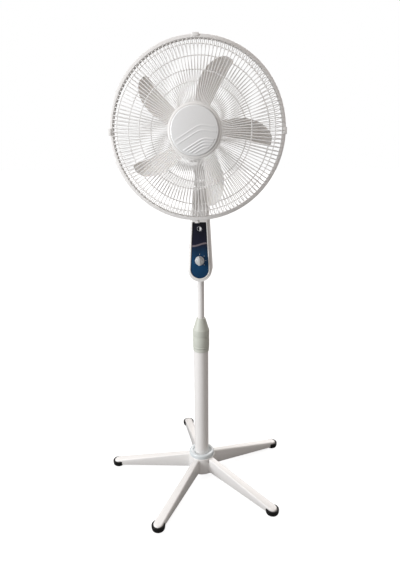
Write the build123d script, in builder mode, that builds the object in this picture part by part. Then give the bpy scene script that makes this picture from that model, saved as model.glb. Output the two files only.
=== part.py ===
from build123d import *
import os
from math import asin, cos, degrees, radians, tan

# Pedestal fan. Millimetres, +Z up, the floor at Z = 0 and the column on the Z axis.
# The fan blows towards -Y. Every piece is its own solid in its own file.
os.makedirs("parts", exist_ok=True)

# ---------------------------------------------------------------- driving dimensions
# Base
LEG_COUNT = 5
LEG_START = 33.3          # direction of the first leg, degrees from +X
FOOT_REACH = 290.0        # column axis to the centre of a foot cap
FOOT_R = 20.0
FOOT_FLOOR = 8.0          # height of the leg's underside in its cap
FOOT_H = 19.0
LEG_ROOT_R = 30.0         # inner end of a leg, inside the hub
LEG_ROOT_BOTTOM = 22.0
LEG_ROOT_TOP = 70.0
LEG_TIP_TOP = 21.0
LEG_ROOT_HALF = 9.4
LEG_TIP_HALF = 13.8
LEG_WALL = 2.5
HUB_R = 43.0
HUB_BOTTOM = 16.0
HUB_TOP = 72.0
HUB_SHELF = 22.0          # the column stands on this shelf in the hub
HUB_RING_R = 41.0
HUB_RING_BEAD = 6.5
FASTENER_GAP = 0.1        # looseness of a piece in its socket

# Column
COLUMN_R = 22.5
COLUMN_WALL = 1.5
COLUMN_TOP = 450.0
SLEEVE_TOP = 453.6
NECK_R = 17.0             # threaded neck of the column sleeve
NECK_TOP = 500.0
COLLAR_R = 25.5
COLLAR_SHOULDER = 515.0
COLLAR_TOP = 551.0
POLE_R = 10.0
POLE_WALL = 1.2
POLE_BOTTOM = 180.0
SLIDE_GAP = 0.4           # looseness of the pole in the column

# Control box
BOX_BOTTOM = 675.0
BOX_R = 35.0              # half width and round bottom of the box
BOX_LEDGE = 854.0         # top of the label frame
BOX_LEDGE_HALF = 26.5
BOX_TOP = 948.0
BOX_TOP_HALF = 17.0
BOX_FRONT = -32.0
BOX_BACK = 30.0
BOX_TOP_FRONT = -17.0
BOX_TOP_BACK = 18.0
SHELL = 2.5
KNOB_Z = 739.0
KNOB_R = 13.5

# Tilt joint and neck
TILT_Z = 957.0
TINE_PITCH = 8.5
TINE_WIDTH = 3.4
TINE_R = 7.0
SLOT_WIDTH = 5.6
BOLT_R = 2.5
RUNNING_GAP = 0.05        # radial clearance of a pin that turns in its hole
NECK_TOP_Z = 1006.0
SPINDLE_R = 5.5

# Oscillation linkage: an exact parallelogram of head, crank, link and neck
GEAR_X = 16.0
GEAR_Y = 70.0
CRANK_THROW = 14.0
LINK_Z = 1007.0
LINK_THICK = 4.0
CRANK_Z = 1012.0
CRANK_THICK = 4.0
BRACKET_Z = 1017.0

# Head, measured forwards along the shaft from the column axis
HEAD_Z = 1095.0
RIM_R = 227.5
RIM_F = 100.0
BAND_DEPTH = 24.0
SPOKES = 132
WIRE_D = 2.0
RING_D = 2.6
EDGE_RING_R = 222.5
EDGE_RING_D = 5.0
PLATE_R = 68.5
PLATE_F = 147.5
BADGE_R = 61.0
BADGE_F = 150.0
FRONT_RINGS = (142.0, 200.0)
REAR_RINGS = (130.0, 191.0)
REAR_PLATE_F = 34.0
SHAFT_R = 4.0
BLADES = 5
BLADE_F = 75.0
BLADE_START = 64.0        # direction of the first blade's leading edge
ROTOR_HUB_R = 42.0
MOTOR_R = 50.0
COVER_R = 62.0

CASE_LOW_Z = HEAD_Z - 19     # gear case, below and above the shaft
CASE_HIGH_Z = HEAD_Z + 17

HEAD = Plane(origin=(0, 0, HEAD_Z), x_dir=(1, 0, 0), z_dir=(0, -1, 0))
RADIAL = Plane(origin=(0, 0, HEAD_Z), x_dir=(1, 0, 0), z_dir=(0, 0, -1))
SHAFT_AXIS = Axis((0, 0, HEAD_Z), (0, 1, 0))


# ---------------------------------------------------------------- base: hub, legs and feet
def leg_wedge(inset, root, bottom_drop):
    """One leg's tapering wedge along +X, its sides, tip and top drawn in by inset."""
    tip = FOOT_REACH + LEG_TIP_HALF
    with BuildPart() as wedge:
        with BuildSketch(Plane.XZ):
            with BuildLine():
                Polyline(
                    (LEG_ROOT_R, LEG_ROOT_BOTTOM - bottom_drop),
                    (HUB_R, LEG_ROOT_BOTTOM - bottom_drop),
                    (FOOT_REACH - FOOT_R, FOOT_FLOOR - bottom_drop),
                    (tip, FOOT_FLOOR - bottom_drop),
                    (tip, LEG_TIP_TOP - inset),
                    (HUB_R, LEG_ROOT_TOP - inset),
                    (LEG_ROOT_R, LEG_ROOT_TOP - inset),
                    close=True,
                )
            make_face()
        extrude(amount=2 * LEG_TIP_HALF, both=True)
        with BuildSketch(Plane.XY):
            with BuildLine():
                half_root = LEG_ROOT_HALF - inset
                half_tip = LEG_TIP_HALF - inset
                Polyline((FOOT_REACH, half_tip), (root, half_root), (root, -half_root), (FOOT_REACH, -half_tip))
                ThreePointArc((FOOT_REACH, -half_tip), (FOOT_REACH + half_tip, 0), (FOOT_REACH, half_tip))
            make_face()
        extrude(amount=2 * LEG_ROOT_TOP, both=True, mode=Mode.INTERSECT)
        if inset == 0:
            top_face = wedge.faces().filter_by(lambda face: face.normal_at().Z > 0.9).sort_by(Axis.X)[-1]
            chamfer(top_face.edges().filter_by(lambda edge: edge.length > 40), length=2.2)
    return wedge.part


leg_outside = leg_wedge(0, LEG_ROOT_R, 0)
leg_channel = leg_wedge(LEG_WALL, HUB_R + 7, 20)
LEG_SCREW_R = 2.1
LEG_SCREW_REACH = 36.5
for number in range(LEG_COUNT):
    direction = LEG_START + 360 / LEG_COUNT * number
    with BuildPart(Plane.XY.rotated((0, 0, direction))) as leg:
        add(leg_outside)
        add(leg_channel, mode=Mode.SUBTRACT)
        with BuildSketch(Plane.XY.rotated((0, 0, direction)).offset(LEG_ROOT_BOTTOM)):
            with Locations((LEG_SCREW_REACH, 0)):
                Circle(LEG_SCREW_R)
        extrude(amount=12, mode=Mode.SUBTRACT)
    leg.part.label = f"leg_{number + 1}"
    export_step(leg.part, f"parts/leg_{number + 1}.step")

# Foot cap: a rubber bowl with a rounded rim and a notch for the leg.
with BuildPart() as foot_bowl:
    with BuildSketch(Plane.XZ):
        with BuildLine():
            Polyline((FOOT_R, FOOT_H - 1.5), (FOOT_R - 1.5, FOOT_H), (LEG_TIP_HALF + 0.4, FOOT_H))
            Polyline((LEG_TIP_HALF + 0.4, FOOT_H), (LEG_TIP_HALF + 0.4, FOOT_FLOOR), (0, FOOT_FLOOR), (0, 0))
            Line((0, 0), (FOOT_R - 6, 0))
            ThreePointArc((FOOT_R - 6, 0), (FOOT_R - 1.4, 4.6), (FOOT_R, FOOT_H - 1.5))
        make_face()
    revolve(axis=Axis.Z)
    with BuildSketch(Plane.XY.offset(FOOT_FLOOR)):
        with Locations((-FOOT_R, 0)):
            Rectangle(2 * FOOT_R, 2 * LEG_TIP_HALF + 0.2)
    extrude(amount=FOOT_H, mode=Mode.SUBTRACT)

for number in range(LEG_COUNT):
    direction = LEG_START + 360 / LEG_COUNT * number
    with BuildPart(Plane.XY.rotated((0, 0, direction))) as foot:
        with Locations((FOOT_REACH, 0)):
            add(foot_bowl.part)
    foot.part.label = f"foot_{number + 1}"
    export_step(foot.part, f"parts/foot_{number + 1}.step")

HUB_HOLE_TURN = -16.0     # each side hole stands this far round from its leg
with BuildPart(Plane.XY.rotated((0, 0, LEG_START))) as base_hub:
    with BuildSketch(Plane.XY.offset(HUB_BOTTOM)):
        Circle(HUB_R)
    extrude(amount=HUB_TOP - HUB_BOTTOM)
    chamfer(base_hub.edges().group_by(Axis.Z)[0], length=2)
    fillet(base_hub.edges().group_by(Axis.Z)[-1], radius=1.5)
    with BuildSketch(Plane.XY.offset(HUB_SHELF)):
        Circle(COLUMN_R + FASTENER_GAP)
    extrude(amount=HUB_TOP, mode=Mode.SUBTRACT)
    with BuildSketch(Plane.XY):
        Circle(4.2)
    extrude(amount=HUB_SHELF, mode=Mode.SUBTRACT)
    with PolarLocations(0, LEG_COUNT):
        with Locations(((LEG_ROOT_R - FASTENER_GAP + HUB_R) / 2 + 5, 0, (LEG_ROOT_BOTTOM + LEG_ROOT_TOP) / 2)):
            Box(
                HUB_R - LEG_ROOT_R + FASTENER_GAP + 10,
                2 * (LEG_ROOT_HALF + 0.35),
                LEG_ROOT_TOP - LEG_ROOT_BOTTOM + 2 * FASTENER_GAP,
                mode=Mode.SUBTRACT,
            )
        with Locations((LEG_SCREW_REACH, 0, HUB_BOTTOM)):
            Cylinder(LEG_SCREW_R + FASTENER_GAP, 20, mode=Mode.SUBTRACT)
    with PolarLocations(0, LEG_COUNT, start_angle=HUB_HOLE_TURN):
        with Locations(Location((HUB_R, 0, HUB_TOP - 12), (0, 90, 0))):
            Cylinder(2.3, 12, mode=Mode.SUBTRACT)
base_hub.part.label = "base_hub"
export_step(base_hub.part, "parts/base_hub.step")

with BuildPart() as hub_ring:
    with BuildSketch(Plane.XZ):
        with Locations(((COLUMN_R + 0.2 + HUB_RING_R) / 2, HUB_TOP + 3.5)):
            Rectangle(HUB_RING_R - COLUMN_R - 0.2, 7)
        with Locations((HUB_RING_R - HUB_RING_BEAD, HUB_TOP + 7)):
            Circle(HUB_RING_BEAD)
    revolve(axis=Axis.Z)
hub_ring.part.label = "hub_ring"
export_step(hub_ring.part, "parts/hub_ring.step")

with BuildPart(Plane.XY.rotated((0, 0, LEG_START))) as leg_screws:
    with PolarLocations(LEG_SCREW_REACH, LEG_COUNT):
        with Locations((0, 0, HUB_BOTTOM + 8)):
            Cylinder(LEG_SCREW_R, 16)
        with Locations((0, 0, HUB_BOTTOM - 1.5)):
            Cylinder(4.2, 3)
leg_screws.part.label = "leg_screws"
export_step(leg_screws.part, "parts/leg_screws.step")

with BuildPart() as base_bolt:
    with BuildSketch(Plane.XY.offset(HUB_BOTTOM - 2)):
        Circle(14)
    extrude(amount=2)
    with BuildSketch(Plane.XY.offset(HUB_BOTTOM - 7)):
        RegularPolygon(7.5, 6)
    extrude(amount=5)
    with BuildSketch(Plane.XY.offset(HUB_BOTTOM)):
        Circle(4)
    extrude(amount=18)
base_bolt.part.label = "base_bolt"
export_step(base_bolt.part, "parts/base_bolt.step")

# ---------------------------------------------------------------- column and height lock
with BuildPart() as outer_column:
    with BuildSketch(Plane.XY.offset(HUB_SHELF)):
        Circle(COLUMN_R)
        Circle(COLUMN_R - COLUMN_WALL, mode=Mode.SUBTRACT)
    extrude(amount=COLUMN_TOP - HUB_SHELF)
    # A threaded plug closes the bottom and takes the base bolt.
    with BuildSketch(Plane.XY.offset(HUB_SHELF)):
        Circle(COLUMN_R - COLUMN_WALL)
        Circle(4, mode=Mode.SUBTRACT)
    extrude(amount=12)
outer_column.part.label = "outer_column"
export_step(outer_column.part, "parts/outer_column.step")

# Sleeve: plugs the column's top, caps its rim and carries the collar's thread.
with BuildPart() as column_sleeve:
    with BuildSketch(Plane.XZ):
        with BuildLine():
            Polyline(
                (POLE_R + SLIDE_GAP, COLUMN_TOP - 45),
                (COLUMN_R - COLUMN_WALL, COLUMN_TOP - 45),
                (COLUMN_R - COLUMN_WALL, COLUMN_TOP),
                (COLUMN_R, COLUMN_TOP),
                (COLUMN_R, COLUMN_TOP - 7),
                (COLUMN_R + 1.2, COLUMN_TOP - 7),
                (COLUMN_R + 2.1, COLUMN_TOP - 6),
                (COLUMN_R + 2.1, SLEEVE_TOP),
                (NECK_R, SLEEVE_TOP),
                (NECK_R, NECK_TOP),
                (POLE_R + SLIDE_GAP, NECK_TOP),
                close=True,
            )
        make_face()
    revolve(axis=Axis.Z)
column_sleeve.part.label = "column_sleeve"
export_step(column_sleeve.part, "parts/column_sleeve.step")

# Lock collar: a grip with two grooves, then a cone that closes on the pole.
GROOVE_HEIGHTS = (460.0, 489.0, 493.0)
with BuildPart() as lock_collar:
    with BuildSketch(Plane.XZ):
        with BuildLine():
            Polyline(
                (NECK_R + SLIDE_GAP, SLEEVE_TOP + 0.5),
                (COLLAR_R - 0.8, SLEEVE_TOP + 0.5),
                (COLLAR_R, SLEEVE_TOP + 1.3),
                (COLLAR_R, COLLAR_SHOULDER),
                (COLLAR_R - 1.5, COLLAR_SHOULDER + 2),
                (POLE_R + 3.6, COLLAR_TOP - 1),
                (POLE_R + 3.0, COLLAR_TOP),
                (POLE_R + 0.7, COLLAR_TOP),
                (POLE_R + 0.7, NECK_TOP + 0.6),
                (NECK_R + SLIDE_GAP, NECK_TOP + 0.6),
                close=True,
            )
        make_face()
        for height in GROOVE_HEIGHTS:
            with Locations((COLLAR_R, height)):
                Rectangle(1.6, 1.2, mode=Mode.SUBTRACT)
    revolve(axis=Axis.Z)
lock_collar.part.label = "lock_collar"
export_step(lock_collar.part, "parts/lock_collar.step")

# ---------------------------------------------------------------- mast: pole and control box
POLE_TOP = BOX_BOTTOM + 58
with BuildPart() as inner_pole:
    with BuildSketch(Plane.XY.offset(POLE_BOTTOM)):
        Circle(POLE_R)
        Circle(POLE_R - POLE_WALL, mode=Mode.SUBTRACT)
    extrude(amount=POLE_TOP - POLE_BOTTOM)
inner_pole.part.label = "inner_pole"
export_step(inner_pole.part, "parts/inner_pole.step")

with BuildPart() as pole_foot:
    with BuildSketch(Plane.XY.offset(POLE_BOTTOM)):
        Circle(COLUMN_R - COLUMN_WALL - SLIDE_GAP)
        Circle(POLE_R, mode=Mode.SUBTRACT)
    extrude(amount=20)
pole_foot.part.label = "pole_foot"
export_step(pole_foot.part, "parts/pole_foot.step")

with BuildPart() as pole_socket:
    with BuildSketch(Plane.XY.offset(BOX_BOTTOM + 12)):
        Circle(14.5)
    extrude(amount=POLE_TOP - BOX_BOTTOM - 8)
    with BuildSketch(Plane.XY.offset(BOX_BOTTOM + 12)):
        Circle(POLE_R)
    extrude(amount=POLE_TOP - BOX_BOTTOM - 12, mode=Mode.SUBTRACT)
pole_socket.part.label = "pole_socket"
export_step(pole_socket.part, "parts/pole_socket.step")


# Each row is one level of the control box: height, half width, front and back.
BOX_CORNER = 7.0
BOX_LEVELS = (
    (BOX_BOTTOM, BOX_R, BOX_FRONT, BOX_BACK),
    (BOX_BOTTOM + BOX_R, BOX_R, BOX_FRONT, BOX_BACK),
    (BOX_LEDGE, BOX_LEDGE_HALF, BOX_FRONT, BOX_BACK),
    (BOX_TOP, BOX_TOP_HALF, BOX_TOP_FRONT, BOX_TOP_BACK),
)


def box_block(inset):
    """The control box as a closed block with a round bottom, drawn in by inset on every side."""
    with BuildPart() as block:
        for height, half, front, back in BOX_LEVELS:
            with BuildSketch(Plane.XY.offset(height)):
                with Locations((0, (front + back) / 2)):
                    RectangleRounded(2 * (half - inset), back - front - 2 * inset, BOX_CORNER - inset)
        loft(ruled=True)
        with BuildSketch(Plane.XZ):
            with Locations((0, BOX_BOTTOM + BOX_R)):
                Circle(BOX_R - inset)
            with Locations((0, (BOX_BOTTOM + BOX_R + BOX_TOP - inset) / 2)):
                Rectangle(2 * BOX_R, BOX_TOP - inset - BOX_BOTTOM - BOX_R)
        extrude(amount=60, both=True, mode=Mode.INTERSECT)
    return block.part


box_outside = box_block(0)
box_inside = box_block(SHELL)
SCREW_PLACES = ((-19.0, 722.0), (19.0, 722.0), (-16.0, 830.0), (16.0, 830.0))
BOSS_PLANE = Plane(origin=(0, 0, 0), x_dir=(1, 0, 0), z_dir=(0, -1, 0))
FORK_HALF_X = 14.0
FORK_HALF_Y = 11.0
FORK_BOTTOM = 918.0
LABEL_TOP = BOX_LEDGE - 3
LABEL_BOTTOM = BOX_BOTTOM + 10
LABEL_TOP_HALF = 19.5
LABEL_R = 26.5
LABEL_DEPTH = 1.2


def label_outline():
    """Outline of the control panel's lens: round below and narrower at the top."""
    with BuildSketch(BOSS_PLANE.offset(-BOX_FRONT)) as outline:
        with BuildLine():
            middle = LABEL_BOTTOM + LABEL_R
            Polyline((LABEL_R, middle), (LABEL_TOP_HALF, LABEL_TOP), (-LABEL_TOP_HALF, LABEL_TOP), (-LABEL_R, middle))
            ThreePointArc((-LABEL_R, middle), (0, LABEL_BOTTOM), (LABEL_R, middle))
        make_face()
        fillet(outline.vertices().group_by(Axis.Z)[-1], radius=2.5)
    return outline.sketch


with BuildPart() as control_front_shell:
    add(box_outside)
    add(box_inside, mode=Mode.SUBTRACT)
    with BuildSketch(BOSS_PLANE):
        with Locations(SCREW_PLACES):
            Circle(4)
    extrude(amount=-BOX_FRONT - SHELL)
    split(bisect_by=Plane.XZ, keep=Keep.TOP)
    with BuildSketch(BOSS_PLANE):
        with Locations(SCREW_PLACES):
            Circle(1.4)
    extrude(amount=16, mode=Mode.SUBTRACT)
    with BuildSketch(BOSS_PLANE):
        with Locations((0, KNOB_Z)):
            Circle(4)
    extrude(amount=60, mode=Mode.SUBTRACT)
    extrude(to_extrude=label_outline(), amount=-LABEL_DEPTH, mode=Mode.SUBTRACT)
    # Flutes run up the tapering top of the box.
    for lane in (-2, -1, 0, 1, 2):
        foot_point = (lane * 8.6, BOX_FRONT, BOX_LEDGE + 3)
        head_point = (lane * 5.4, BOX_TOP_FRONT, BOX_TOP - 8)
        with BuildLine() as flute_path:
            Line(foot_point, head_point)
        with BuildSketch(Plane(origin=foot_point, z_dir=flute_path.line % 0)):
            Circle(1.5)
        sweep(path=flute_path.line, mode=Mode.SUBTRACT)
    with Locations((0, 0, (FORK_BOTTOM + BOX_TOP) / 2 + 2)):
        Box(2 * FORK_HALF_X, 2 * FORK_HALF_Y, BOX_TOP - FORK_BOTTOM + 4, mode=Mode.SUBTRACT)
    with Locations((0, 0, BOX_BOTTOM)):
        Cylinder(POLE_R + FASTENER_GAP, 30, mode=Mode.SUBTRACT)
control_front_shell.part.label = "control_front_shell"
export_step(control_front_shell.part, "parts/control_front_shell.step")

GLAND_Z = BOX_BOTTOM + 28
with BuildPart() as control_rear_shell:
    add(box_outside)
    add(box_inside, mode=Mode.SUBTRACT)
    with BuildSketch(BOSS_PLANE):
        with Locations(SCREW_PLACES):
            Circle(4)
    extrude(amount=-BOX_BACK + SHELL)
    split(bisect_by=Plane.XZ, keep=Keep.BOTTOM)
    with BuildSketch(BOSS_PLANE):
        with Locations(SCREW_PLACES):
            Circle(1.4)
    extrude(amount=-60, mode=Mode.SUBTRACT)
    with BuildSketch(BOSS_PLANE.offset(-BOX_BACK)):
        with Locations(SCREW_PLACES):
            Circle(3)
    extrude(amount=2, mode=Mode.SUBTRACT)
    with BuildSketch(BOSS_PLANE):
        with Locations((0, GLAND_Z)):
            Circle(5)
    extrude(amount=-60, mode=Mode.SUBTRACT)
    # A row of cooling slots across the back.
    for step in range(5):
        with Locations((0, BOX_BACK, 772 + 8 * step)):
            Box(24, 12, 2.4, mode=Mode.SUBTRACT)
    with Locations((0, 0, (FORK_BOTTOM + BOX_TOP) / 2 + 2)):
        Box(2 * FORK_HALF_X, 2 * FORK_HALF_Y, BOX_TOP - FORK_BOTTOM + 4, mode=Mode.SUBTRACT)
    with Locations((0, 0, BOX_BOTTOM)):
        Cylinder(POLE_R + FASTENER_GAP, 30, mode=Mode.SUBTRACT)
control_rear_shell.part.label = "control_rear_shell"
export_step(control_rear_shell.part, "parts/control_rear_shell.step")

with BuildPart() as control_label:
    extrude(to_extrude=label_outline(), amount=-LABEL_DEPTH)
    with BuildSketch(BOSS_PLANE):
        with Locations((0, KNOB_Z)):
            Circle(4)
    extrude(amount=60, mode=Mode.SUBTRACT)
control_label.part.label = "control_label"
export_step(control_label.part, "parts/control_label.step")

with BuildPart() as speed_switch:
    with BuildSketch(BOSS_PLANE.offset(17)):
        with Locations((0, KNOB_Z + 3)):
            Rectangle(26, 26)
    extrude(amount=-BOX_FRONT - SHELL - 17)
    with BuildSketch(BOSS_PLANE.offset(20)):
        with Locations((0, KNOB_Z)):
            Circle(3 + RUNNING_GAP)
    extrude(amount=20, mode=Mode.SUBTRACT)
speed_switch.part.label = "speed_switch"
export_step(speed_switch.part, "parts/speed_switch.step")

with BuildPart() as shell_screws:
    with BuildSketch(BOSS_PLANE.offset(2 - BOX_BACK)):
        with Locations(SCREW_PLACES):
            Circle(1.4)
    extrude(amount=BOX_BACK + 12)
    with BuildSketch(BOSS_PLANE.offset(-BOX_BACK)):
        with Locations(SCREW_PLACES):
            Circle(2.8)
    extrude(amount=2)
shell_screws.part.label = "shell_screws"
export_step(shell_screws.part, "parts/shell_screws.step")

with BuildPart() as cord_gland:
    with BuildSketch(BOSS_PLANE.offset(-BOX_BACK - 9)):
        with Locations((0, GLAND_Z)):
            Circle(5)
    extrude(amount=12)
    with BuildSketch(BOSS_PLANE.offset(-BOX_BACK - 2)):
        with Locations((0, GLAND_Z)):
            Circle(7)
    extrude(amount=2)
    with BuildSketch(BOSS_PLANE.offset(-BOX_BACK - 9)):
        with Locations((0, GLAND_Z)):
            Circle(3.2)
    extrude(amount=12, mode=Mode.SUBTRACT)
cord_gland.part.label = "cord_gland"
export_step(cord_gland.part, "parts/cord_gland.step")

# Speed knob: a disc with a pointed grip bar, on a shaft into the switch.
KNOB_BACK = -BOX_FRONT + 0.6
with BuildPart() as speed_knob:
    with BuildSketch(BOSS_PLANE.offset(KNOB_BACK)):
        with Locations((0, KNOB_Z)):
            Circle(KNOB_R)
    extrude(amount=5)
    chamfer(speed_knob.edges().group_by(Axis.Y)[0], length=1)
    with BuildSketch(BOSS_PLANE.offset(KNOB_BACK + 5)):
        with Locations((0, KNOB_Z)):
            Circle(KNOB_R - 3)
    extrude(amount=9, taper=6)
    with BuildSketch(BOSS_PLANE.offset(KNOB_BACK + 5)):
        with BuildLine():
            Polyline(
                (-3.2, KNOB_Z - KNOB_R + 2),
                (3.2, KNOB_Z - KNOB_R + 2),
                (3.2, KNOB_Z + KNOB_R - 3),
                (0, KNOB_Z + KNOB_R + 1),
                (-3.2, KNOB_Z + KNOB_R - 3),
                close=True,
            )
        make_face()
    extrude(amount=12)
    with BuildSketch(BOSS_PLANE.offset(21)):
        with Locations((0, KNOB_Z)):
            Circle(3)
    extrude(amount=KNOB_BACK - 21)
speed_knob.part.label = "speed_knob"
export_step(speed_knob.part, "parts/speed_knob.step")

# ---------------------------------------------------------------- tilt joint
TILT_PLANE = Plane(origin=(0, 0, TILT_Z), x_dir=(0, 1, 0), z_dir=(1, 0, 0))
TINE_OFFSETS = (-TINE_PITCH, 0.0, TINE_PITCH)
with BuildPart() as tilt_fork:
    with Locations((0, 0, (FORK_BOTTOM + BOX_TOP) / 2)):
        Box(2 * FORK_HALF_X - 0.2, 2 * FORK_HALF_Y - 0.2, BOX_TOP - FORK_BOTTOM)
    for offset_x in TINE_OFFSETS:
        with BuildSketch(TILT_PLANE.offset(offset_x - TINE_WIDTH / 2)):
            Circle(TINE_R)
            with Locations((0, (BOX_TOP - 2 - TILT_Z) / 2)):
                Rectangle(2 * TINE_R, TILT_Z - BOX_TOP + 2)
        extrude(amount=TINE_WIDTH)
    with BuildSketch(TILT_PLANE.offset(-20)):
        Circle(BOLT_R)
    extrude(amount=40, mode=Mode.SUBTRACT)
tilt_fork.part.label = "tilt_fork"
export_step(tilt_fork.part, "parts/tilt_fork.step")

CHEEK_HALF = 13.8
with BuildPart() as tilt_bolt:
    with BuildSketch(TILT_PLANE.offset(-CHEEK_HALF - 4.5)):
        Circle(BOLT_R)
    extrude(amount=2 * CHEEK_HALF + 9)
    with BuildSketch(TILT_PLANE.offset(CHEEK_HALF + 0.4)):
        RegularPolygon(5, 6)
    extrude(amount=3.5)
    with BuildSketch(TILT_PLANE.offset(-CHEEK_HALF - 0.4)):
        Circle(5)
    extrude(amount=-3.5)
tilt_bolt.part.label = "tilt_bolt"
export_step(tilt_bolt.part, "parts/tilt_bolt.step")

# The drive link's two pins sit square to the line from the spindle to the gear.
LINK_LENGTH = (GEAR_X**2 + GEAR_Y**2) ** 0.5
PIN_X = CRANK_THROW * GEAR_Y / LINK_LENGTH
PIN_Y = -CRANK_THROW * GEAR_X / LINK_LENGTH
LINK_PIN_R = 2.4
# Neck: cheeks round the tilt bolt, widening to a flat top with the spindle's bearing.
SPINDLE_BOTTOM = NECK_TOP_Z - 24
with BuildPart() as neck_support:
    with BuildSketch(Plane.XZ):
        with BuildLine():
            Polyline(
                (-CHEEK_HALF, TILT_Z - 20),
                (CHEEK_HALF, TILT_Z - 20),
                (CHEEK_HALF, TILT_Z + 12),
                (17, NECK_TOP_Z - 6),
                (17, NECK_TOP_Z),
                (-17, NECK_TOP_Z),
                (-17, NECK_TOP_Z - 6),
                (-CHEEK_HALF, TILT_Z + 12),
                close=True,
            )
        make_face()
    extrude(amount=30, both=True)
    with BuildSketch(TILT_PLANE.offset(-30)):
        with BuildLine():
            Polyline((TINE_R, 0), (12, 14), (17, NECK_TOP_Z - TILT_Z), (-17, NECK_TOP_Z - TILT_Z))
            Polyline((-17, NECK_TOP_Z - TILT_Z), (-12, 14), (-TINE_R, 0))
            ThreePointArc((-TINE_R, 0), (0, -TINE_R), (TINE_R, 0))
        make_face()
    extrude(amount=60, mode=Mode.INTERSECT)
    for offset_x in TINE_OFFSETS:
        with Locations((offset_x, 0, TILT_Z + 1)):
            Box(SLOT_WIDTH, 60, 22, mode=Mode.SUBTRACT)
    with BuildSketch(TILT_PLANE.offset(-20)):
        Circle(BOLT_R + RUNNING_GAP)
    extrude(amount=40, mode=Mode.SUBTRACT)
    with BuildSketch(Plane.XY.offset(SPINDLE_BOTTOM - 1)):
        Circle(SPINDLE_R + RUNNING_GAP)
    extrude(amount=60, mode=Mode.SUBTRACT)
    with BuildSketch(Plane.XY.offset(NECK_TOP_Z - 2)):
        with Locations((PIN_X, PIN_Y)):
            Circle(LINK_PIN_R)
    extrude(amount=LINK_THICK + 3.4)
neck_support.part.label = "neck_support"
export_step(neck_support.part, "parts/neck_support.step")

# ---------------------------------------------------------------- oscillation linkage
LINK_PLANE = Plane(origin=(PIN_X, PIN_Y, LINK_Z), x_dir=(GEAR_X, GEAR_Y, 0), z_dir=(0, 0, 1))
with BuildPart() as drive_link:
    with BuildSketch(LINK_PLANE):
        with Locations((LINK_LENGTH / 2, 0)):
            SlotCenterToCenter(LINK_LENGTH, 9)
        Circle(LINK_PIN_R + 0.6, mode=Mode.SUBTRACT)
        with Locations((LINK_LENGTH, 0)):
            Circle(LINK_PIN_R + RUNNING_GAP, mode=Mode.SUBTRACT)
    extrude(amount=LINK_THICK)
drive_link.part.label = "drive_link"
export_step(drive_link.part, "parts/drive_link.step")

CRANK_SHAFT_R = 4.0
with BuildPart() as crank:
    with BuildSketch(Plane.XY.offset(CRANK_Z)):
        with Locations((GEAR_X, GEAR_Y)):
            Circle(8)
        with Locations((GEAR_X + PIN_X, GEAR_Y + PIN_Y)):
            Circle(6)
        make_hull()
    extrude(amount=CRANK_THICK)
    with BuildSketch(Plane.XY.offset(CRANK_Z)):
        with Locations((GEAR_X, GEAR_Y)):
            Circle(CRANK_SHAFT_R)
    extrude(amount=CASE_LOW_Z - CRANK_Z - 6)
    with BuildSketch(Plane.XY.offset(CRANK_Z)):
        with Locations((GEAR_X + PIN_X, GEAR_Y + PIN_Y)):
            Circle(LINK_PIN_R)
    extrude(amount=-6)
crank.part.label = "crank"
export_step(crank.part, "parts/crank.step")

# ---------------------------------------------------------------- head: bracket and motor
BRACKET_HALF = 19.0
BRACKET_FRONT = 24.0
BRACKET_BACK = -80.0
with BuildPart() as head_bracket:
    with BuildSketch(Plane.XY.offset(BRACKET_Z)):
        with Locations((0, -(BRACKET_FRONT + BRACKET_BACK) / 2)):
            RectangleRounded(2 * BRACKET_HALF + 18, BRACKET_FRONT - BRACKET_BACK, 10)
    extrude(amount=5)
    with BuildSketch(HEAD.offset(BRACKET_FRONT - 4)):
        with Locations((0, (BRACKET_Z - HEAD_Z - 20) / 2)):
            Rectangle(2 * BRACKET_HALF, HEAD_Z - BRACKET_Z - 20)
        Circle(MOTOR_R + 0.05, mode=Mode.SUBTRACT)
    extrude(amount=-66)
    with BuildSketch(HEAD.offset(BRACKET_FRONT)):
        with Locations((0, (BRACKET_Z - HEAD_Z) / 2)):
            Rectangle(2 * BRACKET_HALF - 10, HEAD_Z - BRACKET_Z - 14)
    extrude(amount=-90, mode=Mode.SUBTRACT)
    with BuildSketch(Plane.XY.offset(BRACKET_Z)):
        Circle(11)
    extrude(amount=12)
    with BuildSketch(Plane.XY.offset(BRACKET_Z)):
        with Locations((GEAR_X, GEAR_Y)):
            Circle(CRANK_SHAFT_R + RUNNING_GAP)
        Circle(SPINDLE_R)
    extrude(amount=12, mode=Mode.SUBTRACT)
head_bracket.part.label = "head_bracket"
export_step(head_bracket.part, "parts/head_bracket.step")

with BuildPart() as pivot_spindle:
    with BuildSketch(Plane.XY.offset(SPINDLE_BOTTOM)):
        Circle(SPINDLE_R)
    extrude(amount=BRACKET_Z + 12 - SPINDLE_BOTTOM)
    with BuildSketch(Plane.XY.offset(BRACKET_Z + 12)):
        Circle(8)
    extrude(amount=3)
pivot_spindle.part.label = "pivot_spindle"
export_step(pivot_spindle.part, "parts/pivot_spindle.step")

STATOR_FRONT = 2.0
STATOR_BACK = -30.0
BELL_DEPTH = 26.0
BOLT_CIRCLE = 54.0
BELL_WALL = 3.0
BEARING_R = 9.0


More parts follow.
